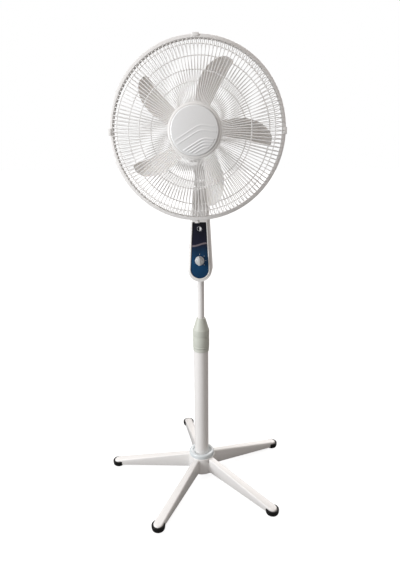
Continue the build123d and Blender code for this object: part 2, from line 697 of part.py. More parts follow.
def motor_bell(open_f, direction):
    """One end bell: a cup that opens onto the stator, with four ears and a bearing seat."""
    closed_f = open_f + direction * BELL_DEPTH
    with BuildPart(HEAD) as bell:
        with BuildSketch(HEAD.offset(open_f)):
            Circle(MOTOR_R)
        extrude(amount=direction * BELL_DEPTH)
        with BuildSketch(HEAD.offset(open_f)):
            with PolarLocations(BOLT_CIRCLE, 4, start_angle=45):
                Circle(5)
        extrude(amount=direction * 8)
        with BuildSketch(HEAD.offset(open_f)):
            Circle(MOTOR_R - BELL_WALL)
        extrude(amount=direction * (BELL_DEPTH - BELL_WALL), mode=Mode.SUBTRACT)
        with BuildSketch(HEAD.offset(closed_f)):
            Circle(BEARING_R + 3)
        extrude(amount=-direction * 10)
        with BuildSketch(HEAD.offset(closed_f - direction * 2)):
            Circle(BEARING_R)
        extrude(amount=-direction * 8, mode=Mode.SUBTRACT)
        with BuildSketch(HEAD.offset(closed_f)):
            Circle(SHAFT_R + 1)
            with PolarLocations(28, 6):
                SlotCenterPoint((0, 0), (6, 0), 5)
        extrude(amount=-direction * 20, mode=Mode.SUBTRACT)
        with BuildSketch(HEAD.offset(open_f)):
            with PolarLocations(BOLT_CIRCLE, 4, start_angle=45):
                Circle(2)
        extrude(amount=direction * 8, mode=Mode.SUBTRACT)
    return bell.part


with BuildPart() as motor_front_bell:
    add(motor_bell(STATOR_FRONT, 1))
motor_front_bell.part.label = "motor_front_bell"
export_step(motor_front_bell.part, "parts/motor_front_bell.step")

with BuildPart() as motor_rear_bell:
    add(motor_bell(STATOR_BACK, -1))
motor_rear_bell.part.label = "motor_rear_bell"
export_step(motor_rear_bell.part, "parts/motor_rear_bell.step")

STATOR_BORE = 29.0
with BuildPart() as stator:
    with BuildSketch(HEAD.offset(STATOR_FRONT)):
        Circle(MOTOR_R)
        Circle(STATOR_BORE, mode=Mode.SUBTRACT)
    extrude(amount=STATOR_BACK - STATOR_FRONT)
stator.part.label = "stator"
export_step(stator.part, "parts/stator.step")

with BuildPart() as windings:
    with BuildSketch(RADIAL):
        with Locations((38, STATOR_FRONT + 6), (38, STATOR_BACK - 6)):
            RectangleRounded(14, 12, 4)
    revolve(axis=SHAFT_AXIS)
windings.part.label = "windings"
export_step(windings.part, "parts/windings.step")

with BuildPart() as bearings:
    with BuildSketch(RADIAL):
        for closed_f, direction in ((STATOR_FRONT + BELL_DEPTH, 1), (STATOR_BACK - BELL_DEPTH, -1)):
            with Locations(((BEARING_R + SHAFT_R + RUNNING_GAP) / 2, closed_f - direction * 6)):
                Rectangle(BEARING_R - SHAFT_R - RUNNING_GAP, 8)
    revolve(axis=SHAFT_AXIS)
bearings.part.label = "bearings"
export_step(bearings.part, "parts/bearings.step")

with BuildPart(HEAD) as motor_bolts:
    with PolarLocations(BOLT_CIRCLE, 4, start_angle=45):
        with Locations((0, 0, (STATOR_FRONT + STATOR_BACK) / 2)):
            Cylinder(2, STATOR_FRONT - STATOR_BACK + 16)
        with Locations((0, 0, STATOR_FRONT + 9.5), (0, 0, STATOR_BACK - 9.5)):
            Cylinder(3.6, 3)
motor_bolts.part.label = "motor_bolts"
export_step(motor_bolts.part, "parts/motor_bolts.step")

FRONT_BOSS_R = 20.0
COVER_SPLIT_F = 28.0
with BuildPart() as motor_front_cover:
    with BuildSketch(HEAD.offset(COVER_SPLIT_F)):
        Circle(COVER_R)
        Circle(BEARING_R, mode=Mode.SUBTRACT)
    extrude(amount=REAR_PLATE_F - COVER_SPLIT_F)
    fillet(motor_front_cover.edges().group_by(Axis.Y)[0].sort_by(SortBy.LENGTH)[-1], radius=2.5)
    with BuildSketch(HEAD.offset(REAR_PLATE_F)):
        Circle(FRONT_BOSS_R)
        Circle(BEARING_R, mode=Mode.SUBTRACT)
    extrude(amount=12)
motor_front_cover.part.label = "motor_front_cover"
export_step(motor_front_cover.part, "parts/motor_front_cover.step")

# Rear motor cover: a domed shell with cooling slots, open below for the bracket.
COVER_BACK_F = -96.0
COVER_WALL = 2.4


def cover_profile(inset):
    """Half profile of the rear cover as a closed region, drawn in by inset."""
    with BuildSketch(RADIAL) as profile:
        with BuildLine():
            outside = COVER_R - inset
            back = COVER_BACK_F + inset
            Polyline((0, back), (0, COVER_SPLIT_F), (outside, COVER_SPLIT_F), (outside, -45))
            Spline((outside, -45), (outside - 14, back + 14), (26, back), tangents=((0, -1), (-1, 0)))
            Line((26, back), (0, back))
        make_face()
    return profile.sketch


with BuildPart() as motor_cover:
    revolve(profiles=cover_profile(0), axis=SHAFT_AXIS)
    revolve(profiles=cover_profile(COVER_WALL), axis=SHAFT_AXIS, mode=Mode.SUBTRACT)
    with BuildSketch(HEAD.offset(COVER_SPLIT_F)):
        Circle(COVER_R - COVER_WALL)
    extrude(amount=-COVER_WALL - 1, mode=Mode.SUBTRACT)
    with BuildSketch(HEAD.offset(COVER_SPLIT_F)):
        with Locations((0, -COVER_R)):
            Rectangle(2 * BRACKET_HALF + 4, 60)
    extrude(amount=-112, mode=Mode.SUBTRACT)
    with BuildSketch(HEAD.offset(COVER_BACK_F + 20)):
        with PolarLocations(30, 24):
            SlotCenterPoint((0, 0), (7, 0), 3)
    extrude(amount=-40, mode=Mode.SUBTRACT)
    with BuildSketch(Plane.XY.offset(HEAD_Z + 30)):
        with Locations((GEAR_X, GEAR_Y)):
            Circle(4)
    extrude(amount=60, mode=Mode.SUBTRACT)
motor_cover.part.label = "motor_cover"
export_step(motor_cover.part, "parts/motor_cover.step")

# Gearbox: a closed case behind the motor, round the worm and its wheel.
WORM_R = 4.6
WHEEL_R = 10.8
CASE_FRONT_F = STATOR_BACK - BELL_DEPTH
CASE_BACK_F = -84.0
CASE_LEFT = -9.0
CASE_RIGHT = 30.0
CASE_WALL = 2.0
with BuildPart() as gear_case:
    case_centre = ((CASE_LEFT + CASE_RIGHT) / 2, -(CASE_FRONT_F + CASE_BACK_F) / 2, (CASE_LOW_Z + CASE_HIGH_Z) / 2)
    case_size = (CASE_RIGHT - CASE_LEFT, CASE_FRONT_F - CASE_BACK_F, CASE_HIGH_Z - CASE_LOW_Z)
    with Locations(case_centre):
        Box(*case_size)
        Box(*(side - 2 * CASE_WALL for side in case_size), mode=Mode.SUBTRACT)
    with BuildSketch(HEAD.offset(CASE_FRONT_F)):
        Circle(SHAFT_R + 1)
    extrude(amount=-CASE_WALL, mode=Mode.SUBTRACT)
    with BuildSketch(Plane.XY.offset(CASE_LOW_Z)):
        with Locations((GEAR_X, GEAR_Y)):
            Circle(CRANK_SHAFT_R + RUNNING_GAP)
    extrude(amount=CASE_WALL, mode=Mode.SUBTRACT)
    with BuildSketch(Plane.XY.offset(CASE_HIGH_Z)):
        with Locations((GEAR_X, GEAR_Y)):
            Circle(3 + RUNNING_GAP)
    extrude(amount=-CASE_WALL, mode=Mode.SUBTRACT)
gear_case.part.label = "gear_case"
export_step(gear_case.part, "parts/gear_case.step")

with BuildPart() as worm_wheel:
    with BuildSketch(Plane.XY.offset(HEAD_Z - 5)):
        with Locations((GEAR_X, GEAR_Y)):
            Circle(WHEEL_R)
            with PolarLocations(WHEEL_R, 24):
                Circle(0.7, mode=Mode.SUBTRACT)
    extrude(amount=10)
worm_wheel.part.label = "worm_wheel"
export_step(worm_wheel.part, "parts/worm_wheel.step")

CLUTCH_ROD_BOTTOM = HEAD_Z + 13.6
CLUTCH_KNOB_Z = HEAD_Z + 72
with BuildPart() as clutch_knob:
    with BuildSketch(Plane.XY.offset(CLUTCH_ROD_BOTTOM)):
        with Locations((GEAR_X, GEAR_Y)):
            Circle(3)
    extrude(amount=CLUTCH_KNOB_Z - CLUTCH_ROD_BOTTOM)
    with BuildSketch(Plane.XY.offset(CLUTCH_KNOB_Z)):
        with Locations((GEAR_X, GEAR_Y)):
            Circle(6)
    extrude(amount=10)
    with BuildSketch(Plane.XY.offset(CLUTCH_KNOB_Z + 10)):
        with Locations((GEAR_X, GEAR_Y)):
            Circle(9)
    extrude(amount=6)
    fillet(clutch_knob.edges().group_by(Axis.Z)[-1], radius=2)
clutch_knob.part.label = "clutch_knob"
export_step(clutch_knob.part, "parts/clutch_knob.step")

# ---------------------------------------------------------------- grilles
PLATE_EDGE_F = PLATE_F + 1.3
SHOULDER_R = 209.0
FRONT_SHOULDER_F = 139.7
EDGE_END_R = EDGE_RING_R - EDGE_RING_D / 2 - WIRE_D / 2 + 0.5
FRONT_RING_F = RIM_F + EDGE_RING_D / 2 + 0.5
REAR_RING_F = RIM_F - EDGE_RING_D / 2 - 0.5
REAR_START_R = 50.0
REAR_START_F = REAR_PLATE_F + 2.2
REAR_SHOULDER_F = 50.0


WIRE_CUT = 0.02           # hairline between a wire's face run and its side run


def grille_spoke(points, bend):
    """One wire of a grille, its route given as (radius, forwards) points, parted at the shoulder's middle."""
    with BuildPart() as spoke:
        with BuildLine(Plane.XZ) as route:
            FilletPolyline(*points, radius=bend)
        with BuildSketch(Plane(origin=route.line @ 0, z_dir=route.line % 0)):
            Circle(WIRE_D / 2)
        sweep(path=route.line)
        shoulder = route.line.edges().filter_by(GeomType.CIRCLE)[0]
        with BuildSketch(Plane(origin=shoulder @ 0.5, z_dir=shoulder % 0.5)):
            Circle(WIRE_D)
        extrude(amount=WIRE_CUT / 2, both=True, mode=Mode.SUBTRACT)
    return spoke.part


front_wire = grille_spoke(
    ((PLATE_R - 1.5, PLATE_EDGE_F), (SHOULDER_R, FRONT_SHOULDER_F), (EDGE_END_R, FRONT_RING_F)), 14
)
rear_wire = grille_spoke(
    ((REAR_START_R, REAR_START_F), (SHOULDER_R, REAR_SHOULDER_F), (EDGE_END_R, REAR_RING_F)), 14
)


def front_wire_f(radius):
    """How far forward the straight run of a front wire lies at this radius."""
    share = (radius - PLATE_R + 1.5) / (SHOULDER_R - PLATE_R + 1.5)
    return PLATE_EDGE_F + share * (FRONT_SHOULDER_F - PLATE_EDGE_F)


def rear_wire_f(radius):
    """How far forward the straight run of a rear wire lies at this radius."""
    share = (radius - REAR_START_R) / (SHOULDER_R - REAR_START_R)
    return REAR_START_F + share * (REAR_SHOULDER_F - REAR_START_F)


RING_STEP = (WIRE_D + RING_D) / 2 - 0.3
with BuildPart(HEAD) as front_grille_spokes:
    with PolarLocations(0, SPOKES):
        add(front_wire)
front_grille_spokes.part.label = "front_grille_spokes"
export_step(front_grille_spokes.part, "parts/front_grille_spokes.step")

with BuildPart(HEAD) as rear_grille_spokes:
    with PolarLocations(0, SPOKES):
        add(rear_wire)
rear_grille_spokes.part.label = "rear_grille_spokes"
export_step(rear_grille_spokes.part, "parts/rear_grille_spokes.step")

with BuildPart() as front_grille_rings:
    with BuildSketch(RADIAL):
        for ring_r in FRONT_RINGS:
            with Locations((ring_r, front_wire_f(ring_r) - RING_STEP)):
                Circle(RING_D / 2)
        with Locations((EDGE_RING_R, FRONT_RING_F)):
            Circle(EDGE_RING_D / 2)
    revolve(axis=SHAFT_AXIS)
front_grille_rings.part.label = "front_grille_rings"
export_step(front_grille_rings.part, "parts/front_grille_rings.step")

with BuildPart() as rear_grille_rings:
    with BuildSketch(RADIAL):
        for ring_r in REAR_RINGS:
            with Locations((ring_r, rear_wire_f(ring_r) - RING_STEP)):
                Circle(RING_D / 2)
        with Locations((EDGE_RING_R, REAR_RING_F)):
            Circle(EDGE_RING_D / 2)
    revolve(axis=SHAFT_AXIS)
rear_grille_rings.part.label = "rear_grille_rings"
export_step(rear_grille_rings.part, "parts/rear_grille_rings.step")

with BuildPart() as rear_grille_plate:
    with BuildSketch(HEAD.offset(REAR_PLATE_F)):
        Circle(REAR_START_R + 3)
        Circle(FRONT_BOSS_R + FASTENER_GAP, mode=Mode.SUBTRACT)
    extrude(amount=1.5)
rear_grille_plate.part.label = "rear_grille_plate"
export_step(rear_grille_plate.part, "parts/rear_grille_plate.step")

with BuildPart(HEAD) as grille_nut:
    with BuildSketch(HEAD.offset(REAR_PLATE_F + 1.5)):
        Circle(28)
        with PolarLocations(28, 8):
            Circle(3)
        Circle(FRONT_BOSS_R + FASTENER_GAP, mode=Mode.SUBTRACT)
    extrude(amount=9)
grille_nut.part.label = "grille_nut"
export_step(grille_nut.part, "parts/grille_nut.step")

with BuildPart() as front_plate:
    with BuildSketch(RADIAL):
        with BuildLine():
            Polyline((0, PLATE_F), (PLATE_R - 1, PLATE_F), (PLATE_R, PLATE_F + 1), (PLATE_R - 4, PLATE_F + 4))
            Polyline((PLATE_R - 4, PLATE_F + 4), (BADGE_R + 0.2, PLATE_F + 4), (BADGE_R + 0.2, BADGE_F), (0, BADGE_F))
            Line((0, BADGE_F), (0, PLATE_F))
        make_face()
    revolve(axis=SHAFT_AXIS)
front_plate.part.label = "front_plate"
export_step(front_plate.part, "parts/front_plate.step")

DOME_R = ((BADGE_R - 4) ** 2 + 2.8**2) / (2 * 2.8)
DOME_SPAN = degrees(asin((BADGE_R - 4) / DOME_R))
with BuildPart() as badge:
    with BuildSketch(RADIAL):
        with BuildLine():
            Line((0, BADGE_F), (BADGE_R, BADGE_F))
            Line((BADGE_R, BADGE_F), (BADGE_R, BADGE_F + 2.5))
            Line((BADGE_R, BADGE_F + 2.5), (BADGE_R - 4, BADGE_F + 5.2))
            CenterArc((0, BADGE_F + 8 - DOME_R), DOME_R, 90 - DOME_SPAN, DOME_SPAN)
            Line((0, BADGE_F + 8), (0, BADGE_F))
        make_face()
    revolve(axis=SHAFT_AXIS)
badge.part.label = "badge"
export_step(badge.part, "parts/badge.step")

BAND_WALL = 1.8
BAND_LIP = 8.4
with BuildPart() as rim_band:
    with BuildSketch(RADIAL):
        with Locations((RIM_R - BAND_LIP / 2, RIM_F)):
            Rectangle(BAND_LIP, BAND_DEPTH)
        with Locations((RIM_R - BAND_LIP, RIM_F)):
            Rectangle(2 * (BAND_LIP - BAND_WALL), BAND_DEPTH - 2 * BAND_WALL, mode=Mode.SUBTRACT)
    revolve(axis=SHAFT_AXIS)
    fillet(rim_band.edges().filter_by(lambda edge: edge.length > 6.27 * RIM_R), radius=0.8)
rim_band.part.label = "rim_band"
export_step(rim_band.part, "parts/rim_band.step")

CLIP_HALF = 8.5
CLIP_OUT = 2.4            # how far a clip stands out from the band
CLIP_IN = 6.0             # how far its jaws reach in over the band
with BuildPart(HEAD) as rim_clips:
    with PolarLocations(0, 3, angular_range=180, endpoint=True):
        with Locations((RIM_R + (CLIP_OUT - CLIP_IN) / 2, 0, RIM_F)):
            Box(CLIP_OUT + CLIP_IN, 2 * CLIP_HALF, BAND_DEPTH + 5)
    with BuildSketch(HEAD.offset(RIM_F - BAND_DEPTH / 2)):
        Circle(RIM_R + FASTENER_GAP)
    extrude(amount=BAND_DEPTH, mode=Mode.SUBTRACT)
rim_clips.part.label = "rim_clips"
export_step(rim_clips.part, "parts/rim_clips.step")

SCREW_BLOCK = 8.6         # the block under the band that the closing screw runs through
SCREW_DROP = RIM_R + FASTENER_GAP + SCREW_BLOCK / 2
with BuildPart(HEAD) as rim_screw:
    with Locations((0, -SCREW_DROP, RIM_F)):
        Box(12, SCREW_BLOCK, 12)
        Cylinder(2, BAND_DEPTH - 4)
    with Locations((0, -SCREW_DROP, RIM_F + BAND_DEPTH / 2 - 2)):
        Cylinder(3.6, 3)
rim_screw.part.label = "rim_screw"
export_step(rim_screw.part, "parts/rim_screw.step")

# ---------------------------------------------------------------- rotor: shaft, core, blades
with BuildPart() as rotor_shaft:
    with BuildSketch(RADIAL):
        with BuildLine():
            Polyline((0, -80), (WORM_R, -80), (WORM_R, -60), (SHAFT_R, -60), (SHAFT_R, 107), (0, 107), close=True)
        make_face()
        for turn in range(6):
            with Locations((WORM_R, -63 - 2.8 * turn)):
                Rectangle(1.2, 1.2, mode=Mode.SUBTRACT)
    revolve(axis=SHAFT_AXIS)
rotor_shaft.part.label = "rotor_shaft"
export_step(rotor_shaft.part, "parts/rotor_shaft.step")

with BuildPart() as rotor_core:
    with BuildSketch(HEAD.offset(STATOR_FRONT)):
        Circle(STATOR_BORE - 0.6)
        Circle(SHAFT_R, mode=Mode.SUBTRACT)
    extrude(amount=STATOR_BACK - STATOR_FRONT)
rotor_core.part.label = "rotor_core"
export_step(rotor_core.part, "parts/rotor_core.step")

# Each row is one cut across a blade: reach, leading edge, trailing edge, pitch.
BLADE_CUTS = (
    (24.0, 2.0, 24.0, 40.0),
    (45.0, 0.0, 32.0, 38.0),
    (70.0, 0.0, 39.0, 36.0),
    (95.0, -0.3, 45.5, 33.0),
    (120.0, -1.5, 49.5, 30.0),
    (150.0, -4.0, 46.0, 26.5),
    (172.0, -6.5, 37.0, 24.0),
    (187.0, -8.5, 25.0, 22.0),
    (196.0, -7.0, 11.0, 21.0),
)
BLADE_EDGE = 1.0
BLADE_BODY = 2.4
with BuildPart() as one_blade:
    for reach, leading, trailing, pitch in BLADE_CUTS:
        lean = radians(pitch)
        half = (trailing - leading) / 2 / cos(lean)
        bow = 0.16 * half
        origin = (reach, -BLADE_F, (leading + trailing) / 2)
        cut = Plane(origin=origin, x_dir=(0, -tan(lean), 1), z_dir=(1, 0, 0))
        with BuildSketch(cut):
            with BuildLine():
                ThreePointArc((-half, -BLADE_EDGE / 2), (0, bow - BLADE_BODY / 2), (half, -BLADE_EDGE / 2))
                Line((half, -BLADE_EDGE / 2), (half, BLADE_EDGE / 2))
                ThreePointArc((half, BLADE_EDGE / 2), (0, bow + BLADE_BODY / 2), (-half, BLADE_EDGE / 2))
                Line((-half, BLADE_EDGE / 2), (-half, -BLADE_EDGE / 2))
            make_face()
    loft()
    with BuildSketch(Plane.XZ.offset(BLADE_F + 60)):
        Circle(ROTOR_HUB_R - 2)
    extrude(amount=-120, mode=Mode.SUBTRACT)

HUB_FRONT_F = 97.0
HUB_BACK_F = 54.0
with BuildPart() as fan_blade:
    for number in range(BLADES):
        with Locations(Pos(0, 0, HEAD_Z) * Rot(0, -BLADE_START - 360 / BLADES * number, 0)):
            add(one_blade.part)
    with BuildSketch(RADIAL):
        with BuildLine():
            Line((SHAFT_R, HUB_FRONT_F), (ROTOR_HUB_R - 8, HUB_FRONT_F))
            ThreePointArc(
                (ROTOR_HUB_R - 8, HUB_FRONT_F), (ROTOR_HUB_R - 2.4, HUB_FRONT_F - 2.4), (ROTOR_HUB_R, HUB_FRONT_F - 8)
            )
            Polyline(
                (ROTOR_HUB_R, HUB_FRONT_F - 8),
                (ROTOR_HUB_R, HUB_BACK_F),
                (ROTOR_HUB_R - 3, HUB_BACK_F),
                (ROTOR_HUB_R - 3, HUB_FRONT_F - 6),
                (9, HUB_FRONT_F - 6),
                (9, HUB_BACK_F + 4),
                (SHAFT_R, HUB_BACK_F + 4),
                (SHAFT_R, HUB_FRONT_F),
            )
        make_face()
    revolve(axis=SHAFT_AXIS)
fan_blade.part.label = "fan_blade"
export_step(fan_blade.part, "parts/fan_blade.step")

with BuildPart(HEAD) as blade_nut:
    with BuildSketch(HEAD.offset(HUB_FRONT_F)):
        Circle(14)
        with PolarLocations(14, 10):
            Circle(1.6)
        Circle(SHAFT_R, mode=Mode.SUBTRACT)
    extrude(amount=9)
    with BuildSketch(HEAD.offset(HUB_FRONT_F + 9)):
        Circle(11)
    extrude(amount=4, taper=20)
    with BuildSketch(HEAD.offset(HUB_FRONT_F)):
        Circle(SHAFT_R)
    extrude(amount=107 - HUB_FRONT_F, mode=Mode.SUBTRACT)
blade_nut.part.label = "blade_nut"
export_step(blade_nut.part, "parts/blade_nut.step")
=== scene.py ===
# %% [markdown]
# # A pedestal fan, piece by piece
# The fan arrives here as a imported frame: every tube, shell, wire and screw already has its size and
# place, and each one rides on a body that can move. This lesson gives the pieces their looks. Shapes
# that the frame holds only plainly, such as the wire cage, the blades and the badge, are made again in
# finer form.

# %% Load the frame
import bpy
import bmesh
import math
from mathutils import Matrix, Vector


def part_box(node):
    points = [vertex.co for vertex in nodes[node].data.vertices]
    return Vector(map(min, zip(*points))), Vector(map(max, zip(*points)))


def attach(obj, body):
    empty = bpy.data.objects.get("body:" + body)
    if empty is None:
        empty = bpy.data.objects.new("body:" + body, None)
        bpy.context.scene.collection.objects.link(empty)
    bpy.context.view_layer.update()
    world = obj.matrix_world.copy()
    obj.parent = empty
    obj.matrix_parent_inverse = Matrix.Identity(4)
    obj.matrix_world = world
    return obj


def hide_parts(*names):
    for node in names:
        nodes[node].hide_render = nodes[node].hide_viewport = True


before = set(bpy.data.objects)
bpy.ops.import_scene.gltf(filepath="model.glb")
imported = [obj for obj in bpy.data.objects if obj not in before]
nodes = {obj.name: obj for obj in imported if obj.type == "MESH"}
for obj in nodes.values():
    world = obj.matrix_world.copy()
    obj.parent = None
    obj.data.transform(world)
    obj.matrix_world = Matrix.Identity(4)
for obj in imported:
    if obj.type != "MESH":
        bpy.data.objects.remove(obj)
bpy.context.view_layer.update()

# %% [markdown]
# ## The camera
# A camera is set up first, so that every later look is taken from the same place. It stands about 1.4 m
# in front of the column at head height and looks down by 15 degrees, which is why the base seems small
# and the cage large. The lens is given for the height of the frame.

# %% Camera
MM = 0.001
CAMERA_DISTANCE = 1.383
CAMERA_HEIGHT = 1.039
CAMERA_TURN = math.radians(5.0)
CAMERA_PITCH = math.radians(15.48)
CAMERA_ROLL = math.radians(-0.38)
CAMERA_ASIDE = math.radians(0.1)
camera_data = bpy.data.cameras.new("studio_camera")
camera_data.sensor_fit = "VERTICAL"
camera_data.sensor_height = 36.0
camera_data.lens = 29.86
camera = bpy.data.objects.new("studio_camera", camera_data)
bpy.context.scene.collection.objects.link(camera)
aside, back = math.sin(CAMERA_TURN), math.cos(CAMERA_TURN)
place = Vector((CAMERA_DISTANCE * aside, -CAMERA_DISTANCE * back, CAMERA_HEIGHT))
heading = Matrix.Rotation(CAMERA_TURN + CAMERA_ASIDE, 4, "Z")
aim = heading @ Matrix.Rotation(math.pi / 2 - CAMERA_PITCH, 4, "X")
camera.matrix_world = Matrix.Translation(place) @ aim @ Matrix.Rotation(CAMERA_ROLL, 4, "Z")
bpy.context.scene.camera = camera
print("camera at", [round(v, 3) for v in place])

# %% [markdown]
# ## Places taken from the frame
# The pieces that are made again need to know where the old ones are. Boxes of a few nodes give the
# shaft's height, the rim and the column, so a change of the frame carries through.

# %% Measures
def span(node, axis):
    """Lowest and highest value of a node's box along one axis."""
    low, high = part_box(node)
    return low[axis], high[axis]


rim_low, rim_high = span("rim_band", 2)
SHAFT_Z = (rim_low + rim_high) / 2
RIM_R = (rim_high - rim_low) / 2
SHAFT_CENTRE = Vector((0.0, 0.0, SHAFT_Z))
rim_front, rim_back = span("rim_band", 1)
RIM_Y = (rim_front + rim_back) / 2
print("shaft height", round(SHAFT_Z, 4), "rim radius", round(RIM_R, 4), "rim plane", round(RIM_Y, 4))

# %% [markdown]
# ## Shared surface effects
# Moulded plastic, powder coat and rubber all share a few things: a faint unevenness of colour, a fine
# grain, edges painted lighter, partly as a painted highlight and partly as wear, and a little dust on
# what faces up. Each effect is a node group with named inputs, built once and set to its own strength
# in each finish. The groups give only colours and values; the shader itself stays in the material.

# %% Node group helpers
def new_group(name, inputs, outputs):
    """An empty shader node group with named sockets, and its input and output nodes."""
    group = bpy.data.node_groups.new(name, "ShaderNodeTree")
    for label, kind, value in inputs:
        socket = group.interface.new_socket(name=label, in_out="INPUT", socket_type=kind)
        socket.default_value = value
    for label, kind in outputs:
        group.interface.new_socket(name=label, in_out="OUTPUT", socket_type=kind)
    return group, group.nodes.new("NodeGroupInput"), group.nodes.new("NodeGroupOutput")


def math_node(tree, operation, first, second=None, clamp=False):
    """A Math node; each operand is a number or a socket to link."""
    node = tree.nodes.new("ShaderNodeMath")
    node.operation = operation
    node.use_clamp = clamp
    for index, value in enumerate((first, second)):
        if value is None:
            continue
        if isinstance(value, (int, float)):
            node.inputs[index].default_value = value
        else:
            tree.links.new(value, node.inputs[index])
    return node.outputs[0]


def object_coordinates(tree):
    return tree.nodes.new("ShaderNodeTexCoord").outputs["Object"]


def noise(tree, scale, detail=3.0, stretch=None):
    """A noise value in object coordinates, its scale a number or a socket."""
    node = tree.nodes.new("ShaderNodeTexNoise")
    node.inputs["Detail"].default_value = detail
    where = object_coordinates(tree)
    if stretch:
        mapping = tree.nodes.new("ShaderNodeMapping")
        mapping.inputs["Scale"].default_value = stretch
        tree.links.new(where, mapping.inputs["Vector"])
        where = mapping.outputs["Vector"]
    tree.links.new(where, node.inputs["Vector"])
    if isinstance(scale, (int, float)):
        node.inputs["Scale"].default_value = scale
    else:
        tree.links.new(scale, node.inputs["Scale"])
    return node.outputs["Fac"]


# %% Uneven colour
uneven, uneven_in, uneven_out = new_group(
    "uneven_colour",
    (("Color", "NodeSocketColor", (0.8, 0.8, 0.8, 1)), ("Tint", "NodeSocketColor", (0.7, 0.68, 0.62, 1)),
     ("Scale", "NodeSocketFloat", 9.0), ("Amount", "NodeSocketFloat", 0.2)),
    (("Color", "NodeSocketColor"),),
)
cloud = noise(uneven, uneven_in.outputs["Scale"], 4.0)
cloud_mask = math_node(uneven, "MULTIPLY", cloud, uneven_in.outputs["Amount"])
uneven_mix = uneven.nodes.new("ShaderNodeMixRGB")
uneven.links.new(cloud_mask, uneven_mix.inputs["Fac"])
uneven.links.new(uneven_in.outputs["Color"], uneven_mix.inputs["Color1"])
uneven.links.new(uneven_in.outputs["Tint"], uneven_mix.inputs["Color2"])
uneven.links.new(uneven_mix.outputs["Color"], uneven_out.inputs["Color"])

# %% Painted edge highlight, edge wear and dust
edge_sheen_wear_dust, sheen_wear_dust_in, sheen_wear_dust_out = new_group(
    "edge_and_dust",
    (("Color", "NodeSocketColor", (0.8, 0.8, 0.8, 1)), ("Edge Color", "NodeSocketColor", (0.9, 0.9, 0.9, 1)),
     ("Edge Amount", "NodeSocketFloat", 0.4), ("Dust Color", "NodeSocketColor", (0.62, 0.58, 0.52, 1)),
     ("Dust Amount", "NodeSocketFloat", 0.08)),
    (("Color", "NodeSocketColor"), ("Edge", "NodeSocketFloat"), ("Dust", "NodeSocketFloat")),
)
surface = edge_sheen_wear_dust.nodes.new("ShaderNodeNewGeometry")
sharp = edge_sheen_wear_dust.nodes.new("ShaderNodeMapRange")
sharp.inputs["From Min"].default_value = 0.53
sharp.inputs["From Max"].default_value = 0.62
edge_sheen_wear_dust.links.new(surface.outputs["Pointiness"], sharp.inputs["Value"])
broken = math_node(edge_sheen_wear_dust, "MULTIPLY", sharp.outputs["Result"], noise(edge_sheen_wear_dust, 140.0, 2.0))
edge_mask = math_node(edge_sheen_wear_dust, "MULTIPLY", broken, sheen_wear_dust_in.outputs["Edge Amount"], clamp=True)
facing = edge_sheen_wear_dust.nodes.new("ShaderNodeSeparateXYZ")
edge_sheen_wear_dust.links.new(surface.outputs["Normal"], facing.inputs["Vector"])
upward = math_node(edge_sheen_wear_dust, "POWER", math_node(edge_sheen_wear_dust, "MAXIMUM", facing.outputs["Z"], 0.0), 2.0)
speckle = math_node(edge_sheen_wear_dust, "MULTIPLY", upward, noise(edge_sheen_wear_dust, 60.0, 5.0))
dust_mask = math_node(edge_sheen_wear_dust, "MULTIPLY", speckle, sheen_wear_dust_in.outputs["Dust Amount"], clamp=True)
# Sharp edges are painted in a lighter colour: partly a painted highlight, partly wear.
edge_mix = edge_sheen_wear_dust.nodes.new("ShaderNodeMixRGB")
edge_sheen_wear_dust.links.new(edge_mask, edge_mix.inputs["Fac"])
edge_sheen_wear_dust.links.new(sheen_wear_dust_in.outputs["Color"], edge_mix.inputs["Color1"])
edge_sheen_wear_dust.links.new(sheen_wear_dust_in.outputs["Edge Color"], edge_mix.inputs["Color2"])
dust_mix = edge_sheen_wear_dust.nodes.new("ShaderNodeMixRGB")
edge_sheen_wear_dust.links.new(dust_mask, dust_mix.inputs["Fac"])
edge_sheen_wear_dust.links.new(edge_mix.outputs["Color"], dust_mix.inputs["Color1"])
edge_sheen_wear_dust.links.new(sheen_wear_dust_in.outputs["Dust Color"], dust_mix.inputs["Color2"])
edge_sheen_wear_dust.links.new(dust_mix.outputs["Color"], sheen_wear_dust_out.inputs["Color"])
edge_sheen_wear_dust.links.new(edge_mask, sheen_wear_dust_out.inputs["Edge"])
edge_sheen_wear_dust.links.new(dust_mask, sheen_wear_dust_out.inputs["Dust"])

# %% Fine grain
grain, grain_in, grain_out = new_group(
    "fine_grain",
    (("Scale", "NodeSocketFloat", 900.0), ("Roughness", "NodeSocketFloat", 0.4),
     ("Variation", "NodeSocketFloat", 0.1)),
    (("Roughness", "NodeSocketFloat"), ("Height", "NodeSocketFloat")),
)
fine = noise(grain, grain_in.outputs["Scale"], 2.0)
patchy = noise(grain, 35.0, 3.0)
swing = math_node(grain, "MULTIPLY", math_node(grain, "SUBTRACT", patchy, 0.5), grain_in.outputs["Variation"])
grain.links.new(math_node(grain, "ADD", grain_in.outputs["Roughness"], swing), grain_out.inputs["Roughness"])
grain.links.new(fine, grain_out.inputs["Height"])
print("groups", [g.name for g in bpy.data.node_groups])
